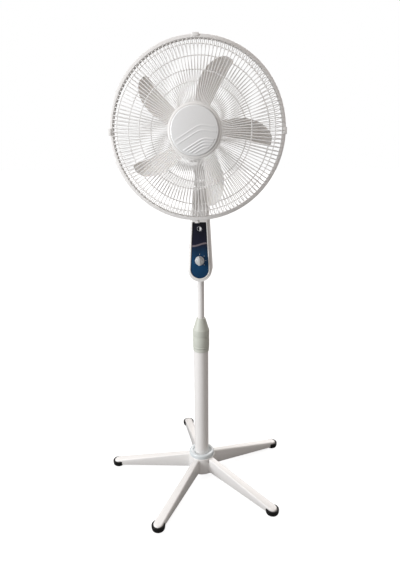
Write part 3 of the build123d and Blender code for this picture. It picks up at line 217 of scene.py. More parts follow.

# %% [markdown]
# ## The finishes
# The stand is powder coated steel in warm white, the shells are moulded in a satin plastic of nearly
# the same white, and the collar is a greyer, greener one. One function builds them all, because they
# differ only in colour, gloss, grain, wear and the painted highlight on their edges.

# %% Finish builder
def finish(name, colour, tint, roughness, grain_scale=900.0, bump=0.15, edge=(0.97, 0.97, 0.96),
           sheen_and_wear_amount=0.35, dust=0.06, metallic=0.0, coat=0.0, stretch=None, specular=0.5):
    """A material built from the shared effects."""
    material = bpy.data.materials.new(name)
    material.use_nodes = True
    tree = material.node_tree
    shader = tree.nodes["Principled BSDF"]
    shader.inputs["Metallic"].default_value = metallic
    shader.inputs["Coat Weight"].default_value = coat
    shader.inputs["Coat Roughness"].default_value = 0.12
    shader.inputs["Specular IOR Level"].default_value = specular
    tones = tree.nodes.new("ShaderNodeGroup")
    tones.node_tree = uneven
    tones.inputs["Color"].default_value = (*colour, 1)
    tones.inputs["Tint"].default_value = (*tint, 1)
    tones.inputs["Amount"].default_value = 0.25
    # Edges get a lighter colour here, a painted highlight as well as wear.
    sheen_and_wear = tree.nodes.new("ShaderNodeGroup")
    sheen_and_wear.node_tree = edge_sheen_wear_dust
    sheen_and_wear.inputs["Edge Color"].default_value = (*edge, 1)
    sheen_and_wear.inputs["Edge Amount"].default_value = sheen_and_wear_amount
    sheen_and_wear.inputs["Dust Amount"].default_value = dust
    tree.links.new(tones.outputs["Color"], sheen_and_wear.inputs["Color"])
    tree.links.new(sheen_and_wear.outputs["Color"], shader.inputs["Base Color"])
    texture = tree.nodes.new("ShaderNodeGroup")
    texture.node_tree = grain
    texture.inputs["Scale"].default_value = grain_scale
    texture.inputs["Roughness"].default_value = roughness
    tree.links.new(texture.outputs["Roughness"], shader.inputs["Roughness"])
    relief = tree.nodes.new("ShaderNodeBump")
    relief.inputs["Strength"].default_value = bump
    relief.inputs["Distance"].default_value = 0.0004
    height = texture.outputs["Height"]
    if stretch:
        height = noise(tree, grain_scale, 2.0, stretch)
    tree.links.new(height, relief.inputs["Height"])
    tree.links.new(relief.outputs["Normal"], shader.inputs["Normal"])
    return material


# %% Finishes of the fan
white_enamel = finish("white_enamel", (0.83, 0.822, 0.815), (0.74, 0.71, 0.68), 0.32, 420.0, 0.12, coat=0.25)
wire_enamel = finish("wire_enamel", (0.90, 0.895, 0.89), (0.82, 0.80, 0.78), 0.36, 600.0, 0.06, coat=0.15)
shell_plastic = finish("shell_plastic", (0.84, 0.835, 0.825), (0.76, 0.74, 0.71), 0.42, 1500.0, 0.12)
collar_plastic = finish("collar_plastic", (0.585, 0.61, 0.555), (0.51, 0.53, 0.465), 0.46, 1200.0, 0.2)
trim_plastic = finish("trim_plastic", (0.66, 0.705, 0.725), (0.58, 0.62, 0.64), 0.30, 1300.0, 0.08, coat=0.2)
black_rubber = finish("black_rubber", (0.005, 0.005, 0.0055), (0.014, 0.013, 0.012), 0.42, 700.0, 0.35,
                      edge=(0.05, 0.048, 0.046), sheen_and_wear_amount=0.35, dust=0.015, specular=0.16)
blade_plastic = finish("blade_plastic", (0.80, 0.785, 0.765), (0.70, 0.67, 0.64), 0.34, 1400.0, 0.05,
                       coat=0.15)
silver_paint = finish("silver_paint", (0.86, 0.87, 0.875), (0.79, 0.80, 0.81), 0.38, 2200.0, 0.1,
                      edge=(0.85, 0.86, 0.87), metallic=0.12, coat=0.2)
zinc_steel = finish("zinc_steel", (0.62, 0.61, 0.58), (0.50, 0.48, 0.44), 0.34, 300.0, 0.2, metallic=1.0,
                    edge=(0.8, 0.8, 0.78), stretch=(1, 1, 12))
cast_aluminium = finish("cast_aluminium", (0.55, 0.56, 0.57), (0.45, 0.45, 0.45), 0.48, 260.0, 0.5,
                        metallic=0.9)
lamination_steel = finish("lamination_steel", (0.22, 0.22, 0.23), (0.16, 0.13, 0.11), 0.5, 60.0, 0.8,
                          metallic=0.8, stretch=(1, 26, 1))
copper_wire = finish("copper_wire", (0.55, 0.24, 0.09), (0.40, 0.15, 0.05), 0.35, 90.0, 0.9, metallic=0.9,
                     stretch=(9, 1, 9))
dark_plastic = finish("dark_plastic", (0.035, 0.035, 0.037), (0.06, 0.058, 0.055), 0.45, 1100.0, 0.2,
                      edge=(0.14, 0.14, 0.14))
blade_shader = blade_plastic.node_tree.nodes["Principled BSDF"]
blade_shader.inputs["Subsurface Weight"].default_value = 0.25
blade_shader.inputs["Subsurface Radius"].default_value = (0.004, 0.0035, 0.003)
print("finishes", [m.name for m in bpy.data.materials])

# %% [markdown]
# ## Taking over a piece of the frame
# A CAD node comes in as loose triangles. Where its shape is right, a copy is merged, its flat faces are
# joined again, and a small bevel goes round its sharp edges, because a real casting or moulding never
# has a perfect corner, and the highlight along the corner is what the eye reads. The copy then stands
# in for the node.

# %% Piece helpers
def add_piece(name, mesh, body, material, *replaced, smooth=35):
    """An object at the origin that rides on a body and stands for CAD nodes."""
    piece = bpy.data.objects.new(name, mesh)
    bpy.context.scene.collection.objects.link(piece)
    mesh.materials.clear()
    mesh.materials.append(material)
    mesh.polygons.foreach_set("use_smooth", [True] * len(mesh.polygons))
    mesh.set_sharp_from_angle(angle=math.radians(smooth))
    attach(piece, body)
    if replaced:
        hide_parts(*replaced)
    print(name, "faces", len(mesh.polygons), "on", body)
    return piece


def applied(piece):
    """The piece's mesh with its modifiers applied, and the piece itself removed."""
    bpy.context.view_layer.update()
    ready = piece.evaluated_get(bpy.context.evaluated_depsgraph_get())
    mesh = bpy.data.meshes.new_from_object(ready)
    bpy.data.objects.remove(piece)
    return mesh


def temporary(name, mesh):
    piece = bpy.data.objects.new(name, mesh)
    bpy.context.scene.collection.objects.link(piece)
    return piece


def merged_copy(node):
    """A CAD node's mesh as joined faces instead of loose triangles."""
    mesh = nodes[node].data.copy()
    work = bmesh.new()
    work.from_mesh(mesh)
    bmesh.ops.remove_doubles(work, verts=work.verts, dist=0.00002)
    bmesh.ops.dissolve_limit(work, angle_limit=math.radians(0.6), verts=work.verts, edges=work.edges)
    bmesh.ops.recalc_face_normals(work, faces=work.faces)
    work.to_mesh(mesh)
    work.free()
    return mesh


def softened(node, body, material, width, piece_name=None):
    """A bevelled copy of a CAD node that replaces it."""
    rough = temporary("rough", merged_copy(node))
    bevel = rough.modifiers.new("edges", "BEVEL")
    bevel.width = width * MM
    bevel.segments = 2
    bevel.limit_method = "ANGLE"
    bevel.angle_limit = math.radians(32)
    return add_piece(piece_name or node + "_finished", applied(rough), body, material, node)


# %% [markdown]
# ## Turned shapes
# Tubes, rings, caps and discs are all turned shapes: one outline swept round an axis. A short lathe
# function makes them with as many steps as their size needs. The outline is given as (radius, along)
# pairs in millimetres, and it may close on itself to make a ring, or end on the axis to make a solid.

# %% Mesh helpers
def finished(work, name):
    """A mesh from a bmesh whose faces are turned outwards first."""
    bmesh.ops.recalc_face_normals(work, faces=work.faces)
    mesh = bpy.data.meshes.new(name)
    work.to_mesh(mesh)
    work.free()
    return mesh


def skin(work, low, high):
    """Faces between two rings of points, where a ring of one point makes a cap."""
    steps = max(len(low), len(high))
    for step in range(steps):
        after = (step + 1) % steps
        corners = [low[step % len(low)], low[after % len(low)],
                   high[after % len(high)], high[step % len(high)]]
        unique = list(dict.fromkeys(corners))
        if len(unique) > 2:
            work.faces.new(unique)


def arc_points(centre_x, centre_y, radius, start, stop, step):
    """Points along an arc, from one angle in degrees up to another."""
    turns = [math.radians(angle_deg) for angle_deg in range(start, stop, step)]
    return [(centre_x + radius * math.cos(a), centre_y + radius * math.sin(a)) for a in turns]


# %% Lathe
def rounded(outline, radius, steps=3):
    """An outline with each inner corner replaced by a short curve."""
    result = [outline[0]]
    for before, corner, after in zip(outline, outline[1:], outline[2:]):
        a, b, c = Vector(before), Vector(corner), Vector(after)
        reach = min(radius, (a - b).length / 2.2, (c - b).length / 2.2)
        start, end = b + (a - b).normalized() * reach, b + (c - b).normalized() * reach
        for step in range(steps + 1):
            t = step / steps
            point = start.lerp(b, t).lerp(b.lerp(end, t), t)
            result.append((point.x, point.y))
    result.append(outline[-1])
    return result


def turned(outline, steps=64, around="column", closed=False):
    """A mesh swept round the column (along is up) or round the shaft (along is forwards)."""
    work = bmesh.new()
    rings = []
    for radius, along in outline:
        ring = []
        for step in range(steps):
            angle = 2 * math.pi * step / steps
            x, y = radius * MM * math.cos(angle), radius * MM * math.sin(angle)
            if around == "column":
                where = (x, y, along * MM)
            else:
                where = (x, -along * MM, SHAFT_Z + y)
            ring.append(work.verts.new(where))
            if radius == 0:
                break
        rings.append(ring)
    pairs = list(zip(rings, rings[1:]))
    if closed:
        pairs.append((rings[-1], rings[0]))
    for low, high in pairs:
        skin(work, low, high)
    return finished(work, "turned")


def circle_outline(centre_r, centre_along, radius, sides=12):
    """A round wire's section, as a closed outline."""
    turns = [2 * math.pi * side / sides for side in range(sides)]
    return [(centre_r + radius * math.cos(a), centre_along + radius * math.sin(a)) for a in turns]


def joined(*meshes):
    """Several meshes as one."""
    work = bmesh.new()
    for mesh in meshes:
        work.from_mesh(mesh)
    result = bpy.data.meshes.new("joined")
    work.to_mesh(result)
    work.free()
    return result


# %% [markdown]
# ## Repeating round an axis
# A fan is full of things that repeat round an axis: wires, blades, legs, feet, grip ribs and vents. One
# small Geometry Nodes tree does it. It takes one shape, moves it to the axis, sets it on as many points
# as are asked for, turns each copy a step further, and realizes the copies. A second tree turns a bent
# line into a wire.

# %% Tree: repeat round an axis
def tree_input(tree, name, kind, value=None):
    socket = tree.interface.new_socket(name=name, in_out="INPUT", socket_type=kind)
    if value is not None:
        socket.default_value = value


repeat_tree = bpy.data.node_groups.new("repeat_round", "GeometryNodeTree")
tree_input(repeat_tree, "Geometry", "NodeSocketGeometry")
tree_input(repeat_tree, "Count", "NodeSocketInt", 5)
tree_input(repeat_tree, "Centre", "NodeSocketVector", (0, 0, 0))
tree_input(repeat_tree, "Axis", "NodeSocketVector", (0, 0, 1))
tree_input(repeat_tree, "Step Angle", "NodeSocketFloat", 1.0)
tree_input(repeat_tree, "Material", "NodeSocketMaterial")
repeat_tree.interface.new_socket(name="Geometry", in_out="OUTPUT", socket_type="NodeSocketGeometry")
given = repeat_tree.nodes.new("NodeGroupInput")
result = repeat_tree.nodes.new("NodeGroupOutput")
to_axis = repeat_tree.nodes.new("GeometryNodeTransform")
flip = repeat_tree.nodes.new("ShaderNodeVectorMath")
flip.operation = "SCALE"
flip.inputs["Scale"].default_value = -1.0
points = repeat_tree.nodes.new("GeometryNodePoints")
copies = repeat_tree.nodes.new("GeometryNodeInstanceOnPoints")
index = repeat_tree.nodes.new("GeometryNodeInputIndex")
angle = repeat_tree.nodes.new("ShaderNodeMath")
angle.operation = "MULTIPLY"
turn = repeat_tree.nodes.new("FunctionNodeAxisAngleToRotation")
realize = repeat_tree.nodes.new("GeometryNodeRealizeInstances")
paint = repeat_tree.nodes.new("GeometryNodeSetMaterial")
for source, sink in (
    (given.outputs["Centre"], flip.inputs[0]),
    (given.outputs["Geometry"], to_axis.inputs["Geometry"]),
    (flip.outputs["Vector"], to_axis.inputs["Translation"]),
    (given.outputs["Count"], points.inputs["Count"]),
    (given.outputs["Centre"], points.inputs["Position"]),
    (points.outputs[0], copies.inputs["Points"]),
    (to_axis.outputs["Geometry"], copies.inputs["Instance"]),
    (index.outputs["Index"], angle.inputs[0]),
    (given.outputs["Step Angle"], angle.inputs[1]),
    (angle.outputs[0], turn.inputs["Angle"]),
    (given.outputs["Axis"], turn.inputs["Axis"]),
    (turn.outputs["Rotation"], copies.inputs["Rotation"]),
    (copies.outputs["Instances"], realize.inputs["Geometry"]),
    (realize.outputs["Geometry"], paint.inputs["Geometry"]),
    (given.outputs["Material"], paint.inputs["Material"]),
    (paint.outputs["Geometry"], result.inputs["Geometry"]),
):
    repeat_tree.links.new(source, sink)
print("tree", repeat_tree.name, "nodes", len(repeat_tree.nodes))

# %% Tree: bent line to wire
wire_tree = bpy.data.node_groups.new("bent_wire", "GeometryNodeTree")
tree_input(wire_tree, "Geometry", "NodeSocketGeometry")
tree_input(wire_tree, "Wire Radius", "NodeSocketFloat", 0.001)
tree_input(wire_tree, "Sides", "NodeSocketInt", 8)
tree_input(wire_tree, "Material", "NodeSocketMaterial")
wire_tree.interface.new_socket(name="Geometry", in_out="OUTPUT", socket_type="NodeSocketGeometry")
given = wire_tree.nodes.new("NodeGroupInput")
result = wire_tree.nodes.new("NodeGroupOutput")
line = wire_tree.nodes.new("GeometryNodeMeshToCurve")
section = wire_tree.nodes.new("GeometryNodeCurvePrimitiveCircle")
tube = wire_tree.nodes.new("GeometryNodeCurveToMesh")
tube.inputs["Fill Caps"].default_value = True
realize = wire_tree.nodes.new("GeometryNodeRealizeInstances")
paint = wire_tree.nodes.new("GeometryNodeSetMaterial")
for source, sink in (
    (given.outputs["Geometry"], line.inputs["Mesh"]),
    (given.outputs["Wire Radius"], section.inputs["Radius"]),
    (given.outputs["Sides"], section.inputs["Resolution"]),
    (line.outputs["Curve"], tube.inputs["Curve"]),
    (section.outputs["Curve"], tube.inputs["Profile Curve"]),
    (tube.outputs["Mesh"], realize.inputs["Geometry"]),
    (realize.outputs["Geometry"], paint.inputs["Geometry"]),
    (given.outputs["Material"], paint.inputs["Material"]),
    (paint.outputs["Geometry"], result.inputs["Geometry"]),
):
    wire_tree.links.new(source, sink)


# %% Use a tree on a mesh
def through(tree, mesh, **values):
    """A plain mesh made by running a mesh through a tree. Values are given by input name, _ for a space."""
    piece = temporary("through", mesh)
    modifier = piece.modifiers.new(tree.name, "NODES")
    modifier.node_group = tree
    for item in tree.interface.items_tree:
        key = item.name.replace(" ", "_").lower()
        if item.in_out == "INPUT" and key in values:
            modifier[item.identifier] = values[key]
    return applied(piece)


def round_column(mesh, count, material):
    """Copies of a mesh evenly round the column."""
    return through(repeat_tree, mesh, count=count, centre=(0, 0, 0), axis=(0, 0, 1),
                   step_angle=2 * math.pi / count, material=material)


def round_shaft(mesh, count, material):
    """Copies of a mesh evenly round the motor shaft."""
    return through(repeat_tree, mesh, count=count, centre=tuple(SHAFT_CENTRE), axis=(0, 1, 0),
                   step_angle=2 * math.pi / count, material=material)


def line_mesh(spots):
    """A chain of points as a mesh of edges."""
    mesh = bpy.data.meshes.new("line")
    mesh.from_pydata([tuple(spot) for spot in spots], [(i, i + 1) for i in range(len(spots) - 1)], [])
    return mesh


# %% [markdown]
# ## The wire cage
# Each half of the cage is 132 wires of 2 mm steel. A wire leaves the middle plate almost flat, bends at
# the shoulder and runs back to the rim, where it is welded to a thick ring. The route is three points
# with the shoulder rounded, turned into a wire by one tree and set round the shaft by the other.

# %% Cage sizes
WIRES = 132
WIRE_R = 1.0
SHOULDER_R = 209.0
FRONT_SHOULDER_F = 139.7
REAR_SHOULDER_F = 50.0
REAR_ROOT = (50.0, 36.2)
RING_APART = 3.0          # each thick ring stands this far from the rim's middle plane
EDGE_R = RIM_R / MM - 5.0
EDGE_WIRE_R = 2.5
END_R = EDGE_R - EDGE_WIRE_R - WIRE_R + 0.5
PLATE_R = span("front_plate", 0)[1] / MM
PLATE_F = -span("front_plate", 1)[1] / MM
RIM_F = -RIM_Y / MM
front_route = [(PLATE_R - 1.5, PLATE_F + 1.3), (SHOULDER_R, FRONT_SHOULDER_F), (END_R, RIM_F + RING_APART)]
rear_route = [REAR_ROOT, (SHOULDER_R, REAR_SHOULDER_F), (END_R, RIM_F - RING_APART)]


def cage_wires(route, name, node):
    """All the wires of one half of the cage."""
    bent = rounded(route, 12.0, 6)
    flat = [Vector((r * MM, -f * MM, SHAFT_Z)) for r, f in bent]
    one = through(wire_tree, line_mesh(flat), wire_radius=WIRE_R * MM, sides=8, material=wire_enamel)
    everything = round_shaft(one, WIRES, wire_enamel)
    add_piece(name, everything, "head", wire_enamel, node, smooth=50)


# %% Build the wires
cage_wires(front_route, "front_wires", "front_grille_spokes")
cage_wires(rear_route, "rear_wires", "rear_grille_spokes")


# %% [markdown]
# ## The welded rings
# Two thinner rings lie across the wires on each half and one thick ring closes the edge. They are
# turned shapes with a round section, fine enough that the circle stays smooth up close.

# %% Rings
RING_WIRE_R = 1.3


def straight_height(route, radius):
    """How far forward the straight run of a wire lies at this radius."""
    (r0, f0), (r1, f1) = route[0], route[1]
    return f0 + (radius - r0) / (r1 - r0) * (f1 - f0)


def cage_rings(route, radii, edge_f, name, node):
    """The thin rings just behind the straight run of the wires, and the thick ring at the edge."""
    rings = []
    for radius in radii:
        behind = straight_height(route, radius) - 2.0
        rings.append(turned(circle_outline(radius, behind, RING_WIRE_R), 180, "shaft", True))
    rings.append(turned(circle_outline(EDGE_R, edge_f, EDGE_WIRE_R), 200, "shaft", True))
    add_piece(name, joined(*rings), "head", wire_enamel, node, smooth=60)


cage_rings(front_route, (142.0, 200.0), RIM_F + RING_APART, "front_rings", "front_grille_rings")
cage_rings(rear_route, (130.0, 191.0), RIM_F - RING_APART, "rear_rings", "rear_grille_rings")

# %% [markdown]
# ## The rim band and its clips
# A formed steel band grips both thick rings and hides where the halves meet. Its section is a channel
# open to the inside, so it is a closed outline turned round the shaft. Three clips hold it, and a screw
# block closes it at the bottom.

# %% Rim band
band_half = (rim_back - rim_front) / 2 / MM
rim = RIM_R / MM
LIP = 8.4
SHEET = 1.8
band_outline = [
    (rim - LIP, RIM_F + band_half), (rim - 2.5, RIM_F + band_half), (rim - 0.6, RIM_F + band_half - 0.8),
    (rim, RIM_F + band_half - 2.6), (rim, RIM_F - band_half + 2.6), (rim - 0.6, RIM_F - band_half + 0.8),
    (rim - 2.5, RIM_F - band_half), (rim - LIP, RIM_F - band_half), (rim - LIP, RIM_F - band_half + SHEET),
    (rim - SHEET - 1, RIM_F - band_half + SHEET), (rim - SHEET, RIM_F - band_half + SHEET + 1),
    (rim - SHEET, RIM_F + band_half - SHEET - 1), (rim - SHEET - 1, RIM_F + band_half - SHEET),
    (rim - LIP, RIM_F + band_half - SHEET),
]
add_piece("rim_band_finished", turned(band_outline, 220, "shaft", True), "head", white_enamel, "rim_band")
softened("rim_clips", "head", shell_plastic, 0.8)

# %% [markdown]
# ## The middle plate and the badge
# The wires end in a white plate, and a silver painted badge sits in it. The badge is a shallow dome
# with a bevelled edge. Its relief is a set of soft steps that rise from the lower left to a knee and
# then fall gently to the right. Relief this bold shows in the outline of the light, so it is real
# height in the mesh and not only bump.

# %% Middle plate
plate_outline = rounded([
    (0, PLATE_F), (PLATE_R - 1, PLATE_F), (PLATE_R, PLATE_F + 1), (PLATE_R - 3, PLATE_F + 3.4),
    (62.4, PLATE_F + 4), (61.2, PLATE_F + 4), (61.2, PLATE_F + 2.5), (0, PLATE_F + 2.5),
], 0.6, 2)
add_piece("middle_plate", turned(plate_outline, 128, "shaft"), "head", shell_plastic, "front_plate")

# %% Badge
BADGE_R = span("badge", 0)[1] / MM
BADGE_BACK = -span("badge", 1)[1] / MM
BADGE_FRONT = -span("badge", 1)[0] / MM
RISE = math.tan(math.radians(31))
FALL = 0.13
# Each step: the knee's place across and up, the line's half width, and its height.
RELIEF = (
    (13, 12, 1.8, 0.7), (14, 0, 1.8, 0.8), (22, -20, 2.0, 1.5),
    (23, -27, 2.0, 1.5), (24, -34, 2.0, 1.5), (26, -41, 2.0, 1.3),
)


def step_between(value, low, high):
    """A smooth step from 0 at the low value to 1 at the high one."""
    t = min(1.0, max(0.0, (value - low) / (high - low)))
    return t * t * (3 - 2 * t)


def badge_relief(x, z):
    """Height of the raised lines at a place on the badge, in millimetres."""
    total = 0.0
    for knee_x, knee_z, half, height in RELIEF:
        left, right = (x - knee_x) * RISE, (knee_x - x) * FALL
        soft = min(left, right)
        if abs(left - right) < 40:
            soft = -3.0 * math.log(math.exp(-left / 3.0) + math.exp(-right / 3.0))
        distance = abs(z - knee_z - soft - 2.0)
        total += height * (1 - step_between(distance, half * 0.6, half * 1.5))
    return total * (1 - step_between(math.hypot(x, z), BADGE_R - 8, BADGE_R - 5))


def badge_mesh(steps=240, rings=72):
    """The domed face with its relief, the bevelled edge and the flat back."""
    work = bmesh.new()
    face_r = BADGE_R - 4.0
    dome_fall = 2.8
    rows = []
    for ring in range(rings + 1):
        radius = face_r * ring / rings
        dome = BADGE_FRONT - 0.8 - dome_fall * (radius / face_r) ** 2
        row = []
        for step in range(steps if ring else 1):
            turn_angle = 2 * math.pi * step / steps
            x, z = radius * math.cos(turn_angle), radius * math.sin(turn_angle)
            forward = dome + badge_relief(x, z) * 0.8
            row.append(work.verts.new((x * MM, -forward * MM, SHAFT_Z + z * MM)))
        rows.append(row)
    edge = ((face_r + 1.2, 4.6), (BADGE_R - 0.7, 3.2), (BADGE_R - 0.1, 2.2), (BADGE_R, 0.0), (0.0, 0.0))
    for radius, height in edge:
        row = []
        for step in range(steps if radius else 1):
            turn_angle = 2 * math.pi * step / steps
            row.append(work.verts.new((radius * MM * math.cos(turn_angle), -(BADGE_BACK + height) * MM,
                                       SHAFT_Z + radius * MM * math.sin(turn_angle))))
        rows.append(row)
    for low, high in zip(rows, rows[1:]):
        skin(work, low, high)
    return finished(work, "badge")


add_piece("badge_relief", badge_mesh(), "head", silver_paint, "badge", smooth=45)

# %% [markdown]
# ## The blades
# Five swept blades are moulded in one piece with their hub. A blade is thick where it meets the hub and
# thin at its edges, it flattens towards the tip, and its leading edge is nearly straight while its
# trailing edge swells and comes round to a blunt tip. A few cuts across the blade carry all of this,
# and the surface passes smoothly through them. The repeat tree then sets five of them round the shaft.

# %% One blade
BLADES = 5
BLADE_START = math.radians(64)
BLADE_F = 75.0
HUB_R = 42.0
# Each cut: reach, leading edge, trailing edge, pitch in degrees.
CUTS = (
    (38, 0.5, 30.0, 38.5), (45, 0, 32, 38), (70, 0, 39, 36), (95, -0.3, 45.5, 33),
    (120, -1.5, 49.5, 30), (150, -4, 46, 26.5), (172, -6.5, 37, 24),
    (187, -8.5, 25, 22), (194, -8.2, 14.5, 21.2), (196, -5.5, 8.5, 21),
)


def cut_at(place):
    """The blade's cut at a place from 0 at the root to 1 at the tip, by a curve through the given cuts."""
    scaled = place * (len(CUTS) - 1)
    index = min(int(scaled), len(CUTS) - 2)
    t = scaled - index
    around = [CUTS[max(0, min(len(CUTS) - 1, index + k))] for k in (-1, 0, 1, 2)]
    values = []
    for p0, p1, p2, p3 in zip(*around):
        values.append(0.5 * (2 * p1 + (p2 - p0) * t + (2 * p0 - 5 * p1 + 4 * p2 - p3) * t * t
                             + (3 * p1 - p0 - 3 * p2 + p3) * t ** 3))
    return values


def blade_mesh(stations=46, across=16):
    """One blade, already turned to where the first one stands."""
    work = bmesh.new()
    rings = []
    for station in range(stations + 1):
        reach, leading, trailing, pitch = cut_at(station / stations)
        lean = math.radians(pitch)
        half = (trailing - leading) / 2
        ring = []
        for side in (1, -1):
            for step in range(across + 1):
                s = (-1 + 2 * step / across) * side
                width = s * half
                bow = 0.16 * half * (1 - s * s)
                thick = side * (0.45 + 0.75 * (1 - s ** 4)) * (1.25 - 0.5 * station / stations)
                away = bow + thick
                up = (leading + trailing) / 2 + width - away * math.sin(lean)
                forward = BLADE_F + width * math.tan(lean) - away * math.cos(lean)
                ring.append(work.verts.new((reach * MM, -forward * MM, up * MM)))
        rings.append(ring)
    for low, high in zip(rings, rings[1:]):
        skin(work, low, high)
    work.faces.new(rings[0])
    work.faces.new(rings[-1])
    bmesh.ops.rotate(work, verts=work.verts, cent=(0, 0, 0), matrix=Matrix.Rotation(-BLADE_START, 3, "Y"))
    bmesh.ops.translate(work, verts=work.verts, vec=(0, 0, SHAFT_Z))
    return finished(work, "blade")


# %% Blade hub and whole fan
hub_outline = rounded([
    (4, 97), (33, 97), (40, 95), (HUB_R, 88), (HUB_R, 54), (39, 54),
    (39, 91), (9, 91), (9, 58), (4, 58), (4, 97),
], 2.0, 3)[:-1]
all_blades = round_shaft(blade_mesh(), BLADES, blade_plastic)
whole_fan = joined(all_blades, turned(hub_outline, 96, "shaft", True))
add_piece("fan_moulding", whole_fan, "rotor", blade_plastic, "fan_blade", smooth=40)
softened("blade_nut", "rotor", shell_plastic, 0.5)

# %% [markdown]
# ## The base
# Five steel legs stand in a cast hub, each a folded channel that tapers outwards, with a black rubber
# cap over its end. The legs and the hub keep their shape from the frame and get soft corners. A foot
# cap is turned, with a rolled rim and a flat underside, and is then opened on the side where its leg
# comes in.

# %% Legs and hub
for number in range(1, 6):
    softened(f"leg_{number}", "base", white_enamel, 1.0)
softened("base_hub", "base", white_enamel, 0.9)
ring_low, ring_high = (v / MM for v in span("hub_ring", 2))
column_r = span("outer_column", 0)[1] / MM
hub_ring_r = span("hub_ring", 0)[1] / MM
bead = 6.5
bead_arc = arc_points(hub_ring_r - bead, ring_high - bead, bead, 0, 181, 15)
hub_ring_outline = [
    (hub_ring_r - 0.6, ring_low), (hub_ring_r, ring_low + 0.6), *bead_arc,
    (hub_ring_r - 2 * bead, ring_low + 7), (column_r + 0.2, ring_low + 6), (column_r + 0.2, ring_low),
]
add_piece("hub_trim", turned(hub_ring_outline, 96, "column", True), "base", trim_plastic, "hub_ring")

# %% Foot caps
foot_left, foot_right = span("foot_1", 0)
foot_near, foot_far = span("foot_1", 1)
foot_high = span("foot_1", 2)[1] / MM
foot_centre = Vector(((foot_left + foot_right) / 2, (foot_near + foot_far) / 2, 0))
FOOT_TURN = math.atan2(foot_centre.y, foot_centre.x)
FOOT_REACH = 0.290
FOOT_R = 20.0
FLOOR_IN_CAP = 8.0
INSIDE_R = 14.2
NOTCH_HALF = 13.95


def foot_cap():
    """A turned bowl at the origin with its leg side cut open above the floor of the cap."""
    outline = rounded([
        (0, 0), (13.5, 0), (18.4, 4.2), (19.8, 10), (FOOT_R, foot_high - 2.0), (FOOT_R - 0.9, foot_high),
        (15.8, foot_high), (INSIDE_R, foot_high - 1.2), (INSIDE_R, FLOOR_IN_CAP), (0, FLOOR_IN_CAP),
    ], 1.6, 3)
    cap = temporary("cap", turned(outline, 72))
    block = bmesh.new()
    bmesh.ops.create_cube(block, size=1.0)
    bmesh.ops.scale(block, verts=block.verts, vec=(0.03, 2 * NOTCH_HALF * MM, 0.02))
    bmesh.ops.translate(block, verts=block.verts, vec=(-0.015, 0, FLOOR_IN_CAP * MM + 0.01))
    notch = temporary("notch", finished(block, "notch"))
    cut = cap.modifiers.new("notch", "BOOLEAN")
    cut.operation = "DIFFERENCE"
    cut.object = notch
    cut.solver = "EXACT"
    mesh = applied(cap)
    bpy.data.objects.remove(notch)
    mesh.transform(Matrix.Rotation(FOOT_TURN, 4, "Z") @ Matrix.Translation((FOOT_REACH, 0, 0)))
    return mesh


feet = round_column(foot_cap(), 5, black_rubber)
add_piece("foot_caps", feet, "base", black_rubber, *[f"foot_{n}" for n in range(1, 6)], smooth=40)

# %% [markdown]
# ## The column, the collar and the pole
# The column is a powder coated tube and the pole slides in it. The lock collar between them has three
# grooves for the hand, and closes on the pole with a smooth cone.

# %% Column and pole
column_low, column_high = (v / MM for v in span("outer_column", 2))
column_outline = [(column_r - 1.5, column_low), (column_r - 0.3, column_low), (column_r, column_low + 0.3),
                  (column_r, column_high - 0.3), (column_r - 0.3, column_high), (column_r - 1.5, column_high)]
add_piece("column_tube", turned(column_outline, 96, "column", True), "base", white_enamel, "outer_column")
pole_r = span("inner_pole", 0)[1] / MM
pole_low, pole_high = (v / MM for v in span("inner_pole", 2))
pole_outline = [(pole_r - 1.2, pole_low), (pole_r, pole_low + 0.3), (pole_r, pole_high - 0.3),
                (pole_r - 1.2, pole_high)]
add_piece("pole_tube", turned(pole_outline, 64, "column", True), "mast", white_enamel, "inner_pole")

# %% Lock collar
collar_low, collar_high = (v / MM for v in span("lock_collar", 2))
collar_r = span("lock_collar", 0)[1] / MM
shoulder = collar_high - 36.0
bore = pole_r + 0.7
thread_r = 17.4
thread_top = collar_low + 46.5
GROOVES = (5.2, 34.2, 38.2)      # where each groove starts above the collar's foot
groove_points = []
for start in GROOVES:
    for rise, depth in ((0.0, 0.0), (0.6, 0.9), (1.4, 0.9), (2.0, 0.0)):
        groove_points.append((collar_r - depth, collar_low + start + rise))
collar_outline = rounded([
    (thread_r, collar_low), (collar_r - 0.9, collar_low), (collar_r, collar_low + 1.2), *groove_points,
    (collar_r, shoulder - 1.0), (collar_r - 1.6, shoulder + 1.5), (pole_r + 3.8, collar_high - 1.4),
    (pole_r + 3.0, collar_high), (bore, collar_high), (bore, thread_top), (thread_r, thread_top),
    (thread_r, collar_low),
], 0.5, 2)[:-1]
add_piece("collar_grip", turned(collar_outline, 96, "column", True), "collar", collar_plastic, "lock_collar")

# %% [markdown]
# ## The control box
# The box is two moulded shells that meet along the side. The front one carries a printed label under a
# clear lens, and the shells keep their shape from the frame with soft edges. A thin raised rim frames
# the label. The label's print changes with height: black at the top, navy and then blue below, and a
# pale curved band between them. It is painted by the height of the surface, so it needs no picture.

